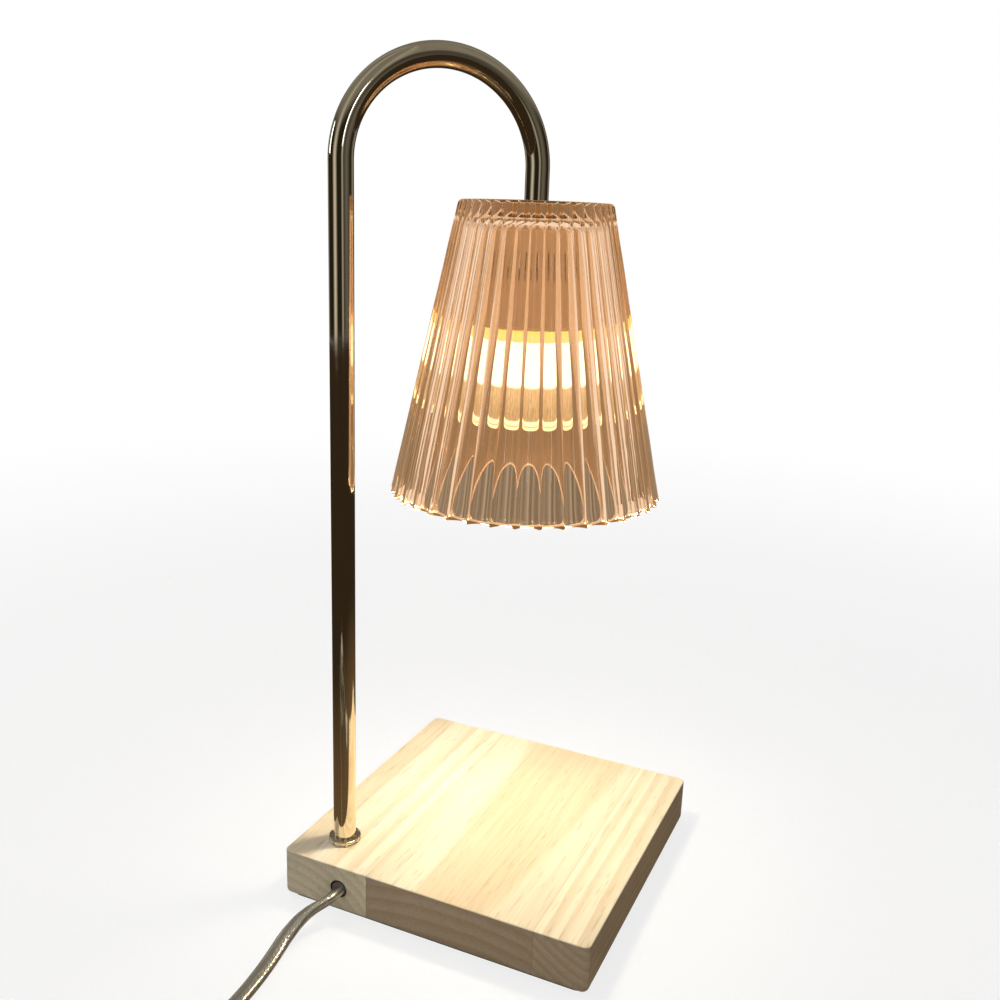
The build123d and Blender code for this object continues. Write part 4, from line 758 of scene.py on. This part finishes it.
# ---------------------------------------------------------------- build the object
finishes = {
    "polished_bronze": polished_metal("polished_bronze", (0.88, 0.76, 0.57)),
    "zinc_steel": plated_steel(),
    "oiled_hardwood": hardwood(),
    "turned_bronze": polished_metal("turned_bronze", (0.90, 0.76, 0.56), 0.26),
    "foam": rubber("foam", (0.045, 0.042, 0.040)),
    "clear_cord": twin_cord(),
    "nylon": plastic("nylon", (0.74, 0.73, 0.68), 0.42),
    "silicone_sleeve": rubber("silicone_sleeve", (0.62, 0.60, 0.55), 1500.0),
    "amber_glass": amber_glass(),
    "silicone": rubber("silicone", (0.60, 0.57, 0.52), 1200.0),
    "holder_brass": satin_cup(),
    "ceramic": glazed_ceramic("ceramic", (0.86, 0.83, 0.76)),
    "contact_brass": polished_metal("contact_brass", (0.85, 0.64, 0.32), 0.2),
    "tie_band": plastic("tie_band", (0.035, 0.035, 0.037), 0.42),
    "dimmer_plastic": plastic("dimmer_plastic", (0.80, 0.79, 0.75), 0.30, 1100.0),
    "circuit_board": circuit_laminate(),
    "control_plastic": plastic("control_plastic", (0.05, 0.05, 0.055), 0.4),
    "wheel_plastic": plastic("wheel_plastic", (0.09, 0.09, 0.095), 0.38),
    "relief_rubber": plastic("relief_rubber", (0.72, 0.71, 0.67), 0.42),
    "plug_plastic": plastic("plug_plastic", (0.77, 0.75, 0.69), 0.28),
    "nickel_brass": polished_metal("nickel_brass", (0.80, 0.78, 0.72), 0.14),
    "lamp_glass": mirror_bowl(),
    "lens_glass": clear_glass("lens_glass", (1.0, 0.97, 0.90), 0.02, (1.0, 0.86, 0.62, 1.0), 15.0),
    "cap_ceramic": glazed_ceramic("cap_ceramic", (0.88, 0.86, 0.80), 0.5),
    "capsule_glass": clear_glass("capsule_glass", (1.0, 0.98, 0.94), 0.05, (1.0, 0.90, 0.70, 1.0), 14.0),
}
for entry in frame["record"]["subparts"]:
    dress(entry["node"], finishes[entry["material_slot"]])


def stands_for(piece, body, slot, *nodes):
    """Puts a piece on a body in place of CAD nodes; slot is not used."""
    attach(piece, body)
    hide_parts(*nodes)


arm = arm_surface(finishes["polished_bronze"])
stands_for(arm, "lamp", "polished_bronze", "arm_tube")
collar = collar_surface(finishes["turned_bronze"])
stands_for(collar, "lamp", "polished_bronze", "pole_collar")
shade = shade_surface(finishes["amber_glass"])
stands_for(shade, "lamp", "amber_glass", "glass_shade")
bowl = bowl_surface(finishes["lamp_glass"])
stands_for(bowl, "bulb", "lamp_glass", "bulb_reflector")

cord, cord_line, cord_length = cord_surface(finishes["clear_cord"])
stands_for(cord, "lamp", "clear_cord", "cord_feed", "cord_link", "cord_coil", "cord_tail")


# ---------------------------------------------------------------- stage, light and camera
def stage_finish(name, build):
    """Material of a stage object: build(finish) returns the shader's output."""
    f = Finish(name)
    f.put(f.out.inputs["Surface"], build(f))
    return f.material


def floor_finish(f):
    """Pale matt floor, almost white to the camera with the shadow kept.

    Glass shows it in light and dark bars.
    """
    f.surface(Base_Color=(0.86, 0.86, 0.86), Roughness=0.9)
    f.shader.inputs["Specular IOR Level"].default_value = 0.1
    lit = Wire(f, f.shader.outputs[0])
    seen = f.node("ShaderNodeLightPath", out="Is Camera Ray")
    through = f.node("ShaderNodeLightPath", out="Is Transmission Ray")
    place = f.place()
    x, y, _ = f.split(place)
    away = (x * x + y * y) ** 0.5
    compass = f.node("ShaderNodeVectorMath", {"operation": "NORMALIZE"}, place)
    bars = f.noise(compass, 4.2, 2.0, 0.5).ramp(0.44, 0.62)
    dim = f.blend(bars, (0.09, 0.075, 0.052), (0.38, 0.35, 0.29))
    white = f.node("ShaderNodeEmission", None, f.blend(seen, dim, (1.0, 1.0, 1.0)), 1.0)
    share = seen * away.ramp(0.30, 1.1, 0.80, 1.0) + through * 0.85
    return f.node("ShaderNodeMixShader", None, share, lit, white)


def flag_finish(f):
    """Dark surround for reflections: near-black olive with pale upright strips, greyer overhead."""
    x, y, z = f.split(f.place())
    turn = f.node("ShaderNodeMath", {"operation": "ARCTAN2"}, y, x) * (180.0 / math.pi)
    strips = (
        turn.peak(-114.0, 24.0) * 0.66 + turn.peak(-47.0, 13.0) * 0.40 + turn.peak(-8.0, 40.0) * 0.13
        + turn.peak(67.0, 22.0) * 0.28 + turn.peak(159.0, 18.0) * 0.36
    )
    light = strips * z.ramp(0.4, 1.9, 1.0, 0.35) + z.ramp(0.9, 1.8) * 0.20
    colour = f.blend(light, (0.018, 0.015, 0.009), (0.86, 0.84, 0.76))
    return f.node("ShaderNodeEmission", None, colour, 1.0)


def table_finish(f):
    """Dark table top that only reflections see, with a painted pool of the bulb's light round its middle."""
    x, y, _ = f.split(f.place())
    away = (x * x + y * y) ** 0.5
    # painted pool of the bulb's light: brighter near the middle
    colour = f.blend(away.ramp(0.09, 0.34), (0.13, 0.085, 0.045), (0.030, 0.021, 0.012))
    return f.node("ShaderNodeEmission", None, colour, 1.0)


def window_finish(f):
    """Cool daylight of a window."""
    return f.node("ShaderNodeEmission", None, (0.80, 0.90, 1.0, 1.0), 4.0)


def stage_piece(name, rows, material, wrap=True, only=None):
    """Stage object from a grid; only= names the kinds of ray that see it."""
    piece = sheet_of(name, rows, False, wrap, material)
    if only is not None:
        for kind in ("camera", "diffuse", "glossy", "transmission", "volume_scatter", "shadow"):
            setattr(piece, "visible_" + kind, kind in only)
    return piece


side = np.array([-4000.0, 4000.0])
floor_grid = np.stack(np.broadcast_arrays(side[None, :], side[:, None], np.array([[-0.05]])), -1)
stage_piece("studio_floor", floor_grid, stage_finish("studio_floor", floor_finish), wrap=False)

turn = np.linspace(0, 2 * math.pi, 72, endpoint=False)
reach = np.array([2200.0, 2200.0, 2200.0, 1500.0, 5.0])[:, None]
rise = np.array([-20.0, 1000.0, 1700.0, 2300.0, 2500.0])[:, None]
tent = np.stack([reach * np.cos(turn), reach * np.sin(turn), rise + 0 * turn], -1)
stage_piece("dark_flags", tent, stage_finish("dark_flags", flag_finish), only=["glossy"])
table_reach = np.array([5.0, 80.0, 300.0, 2150.0])[:, None]
table = np.stack([table_reach * np.cos(turn), table_reach * np.sin(turn), 0.02 + 0 * table_reach * turn], -1)
stage_piece("dark_table", table, stage_finish("dark_table", table_finish), only=["glossy"])
daylight = stage_finish("daylight", window_finish)
for name, azimuth, half in (("left_window", -169.0, 5.0), ("right_window", -50.0, 2.5)):
    across = np.radians(np.array([azimuth - half, azimuth + half]))[None, :]
    up = np.array([520.0, 1150.0])[:, None]
    pane = np.stack([2100.0 * np.cos(across) + 0 * up, 2100.0 * np.sin(across) + 0 * up, up + 0 * across], -1)
    stage_piece(name, pane, daylight, wrap=False, only=["glossy"])

world = bpy.data.worlds.new("studio")
bpy.context.scene.world = world
world.use_nodes = True
nodes = world.node_tree.nodes
links = world.node_tree.links
path = nodes.new("ShaderNodeLightPath")
seen = nodes.new("ShaderNodeMath")
seen.operation = "MAXIMUM"
links.new(path.outputs["Is Camera Ray"], seen.inputs[0])
links.new(path.outputs["Is Glossy Ray"], seen.inputs[1])
through = nodes.new("ShaderNodeMath")
through.operation = "MULTIPLY_ADD"
links.new(path.outputs["Is Transmission Ray"], through.inputs[0])
through.inputs[1].default_value = 0.22  # transmission rays: this far from the first strength to the second
links.new(seen.outputs[0], through.inputs[2])
strength = nodes.new("ShaderNodeMapRange")
links.new(through.outputs[0], strength.inputs[0])
strength.inputs[3].default_value = 0.30  # first: rays that light the piece
strength.inputs[4].default_value = 1.0  # second: camera and glossy rays
background = nodes["Background"]
background.inputs["Color"].default_value = (1.0, 1.0, 1.0, 1.0)
links.new(strength.outputs[0], background.inputs["Strength"])


def lamp_at(name, kind, place, aim, energy, colour, **settings):
    """Light at a place in metres that points at an aim; the beam is the light's own -Z."""
    light = bpy.data.lights.new(name, kind)
    light.energy = energy
    light.color = colour
    for key, value in settings.items():
        setattr(light, key, value)
    holder = bpy.data.objects.new(name, light)
    bpy.context.scene.collection.objects.link(holder)
    back = np.array(place, float) - np.array(aim, float)
    back /= np.linalg.norm(back)
    guide = np.array([0.0, 1.0, 0.0]) if abs(back[2]) > 0.99 else np.array([0.0, 0.0, 1.0])
    right = np.cross(guide, back)
    right /= np.linalg.norm(right)
    up = np.cross(back, right)
    turned = np.eye(4)
    turned[:3, 0], turned[:3, 1], turned[:3, 2], turned[:3, 3] = right, up, back, place
    holder.matrix_world = Matrix(turned.tolist())
    return holder


key = lamp_at("key_light", "AREA", (-0.75, 0.1, 1.5), (0, 0, 0.1), 8.0, (1.0, 0.98, 0.95), size=1.0)
fill = lamp_at("fill_light", "AREA", (-0.5, -1.5, 0.6), (0, 0, 0.1), 1.0, (1.0, 0.99, 0.97), size=1.2)
for light in (key, fill):
    light.visible_camera = light.visible_glossy = light.visible_transmission = False
bulb_light = lamp_at(
    "bulb_light", "SPOT", (SHADE * MM, SHADE * MM, 0.2135), (SHADE * MM, SHADE * MM, 0.0), 1.25,
    (1.0, 0.94, 0.78), spot_size=math.radians(96.0), spot_blend=0.9, shadow_soft_size=0.011,
)
bulb_light.visible_camera = bulb_light.visible_glossy = bulb_light.visible_transmission = False

camera_data = bpy.data.cameras.new("photo_camera")
camera_data.sensor_width = 36.0
camera_data.lens = 37.353
camera = bpy.data.objects.new("photo_camera", camera_data)
bpy.context.scene.collection.objects.link(camera)
# Solved from the photo's outlines together with the lamp's proportions.
yaw, pitch, roll = (math.radians(v) for v in (24.1, 15.164, 1.996))
look = np.array([-math.sin(yaw) * math.cos(pitch), math.cos(yaw) * math.cos(pitch), -math.sin(pitch)])
level = np.array([math.cos(yaw), math.sin(yaw), 0.0])
over = np.cross(level, look)
right = math.cos(roll) * level + math.sin(roll) * over
upward = -math.sin(roll) * level + math.cos(roll) * over
stand = np.eye(4)
stand[:3, 0], stand[:3, 1], stand[:3, 2] = right, upward, -look
stand[:3, 3] = (0.17664, -0.40605, 0.29857)
camera.matrix_world = Matrix(stand.tolist())
bpy.context.scene.camera = camera
bpy.context.scene.view_settings.view_transform = "Standard"
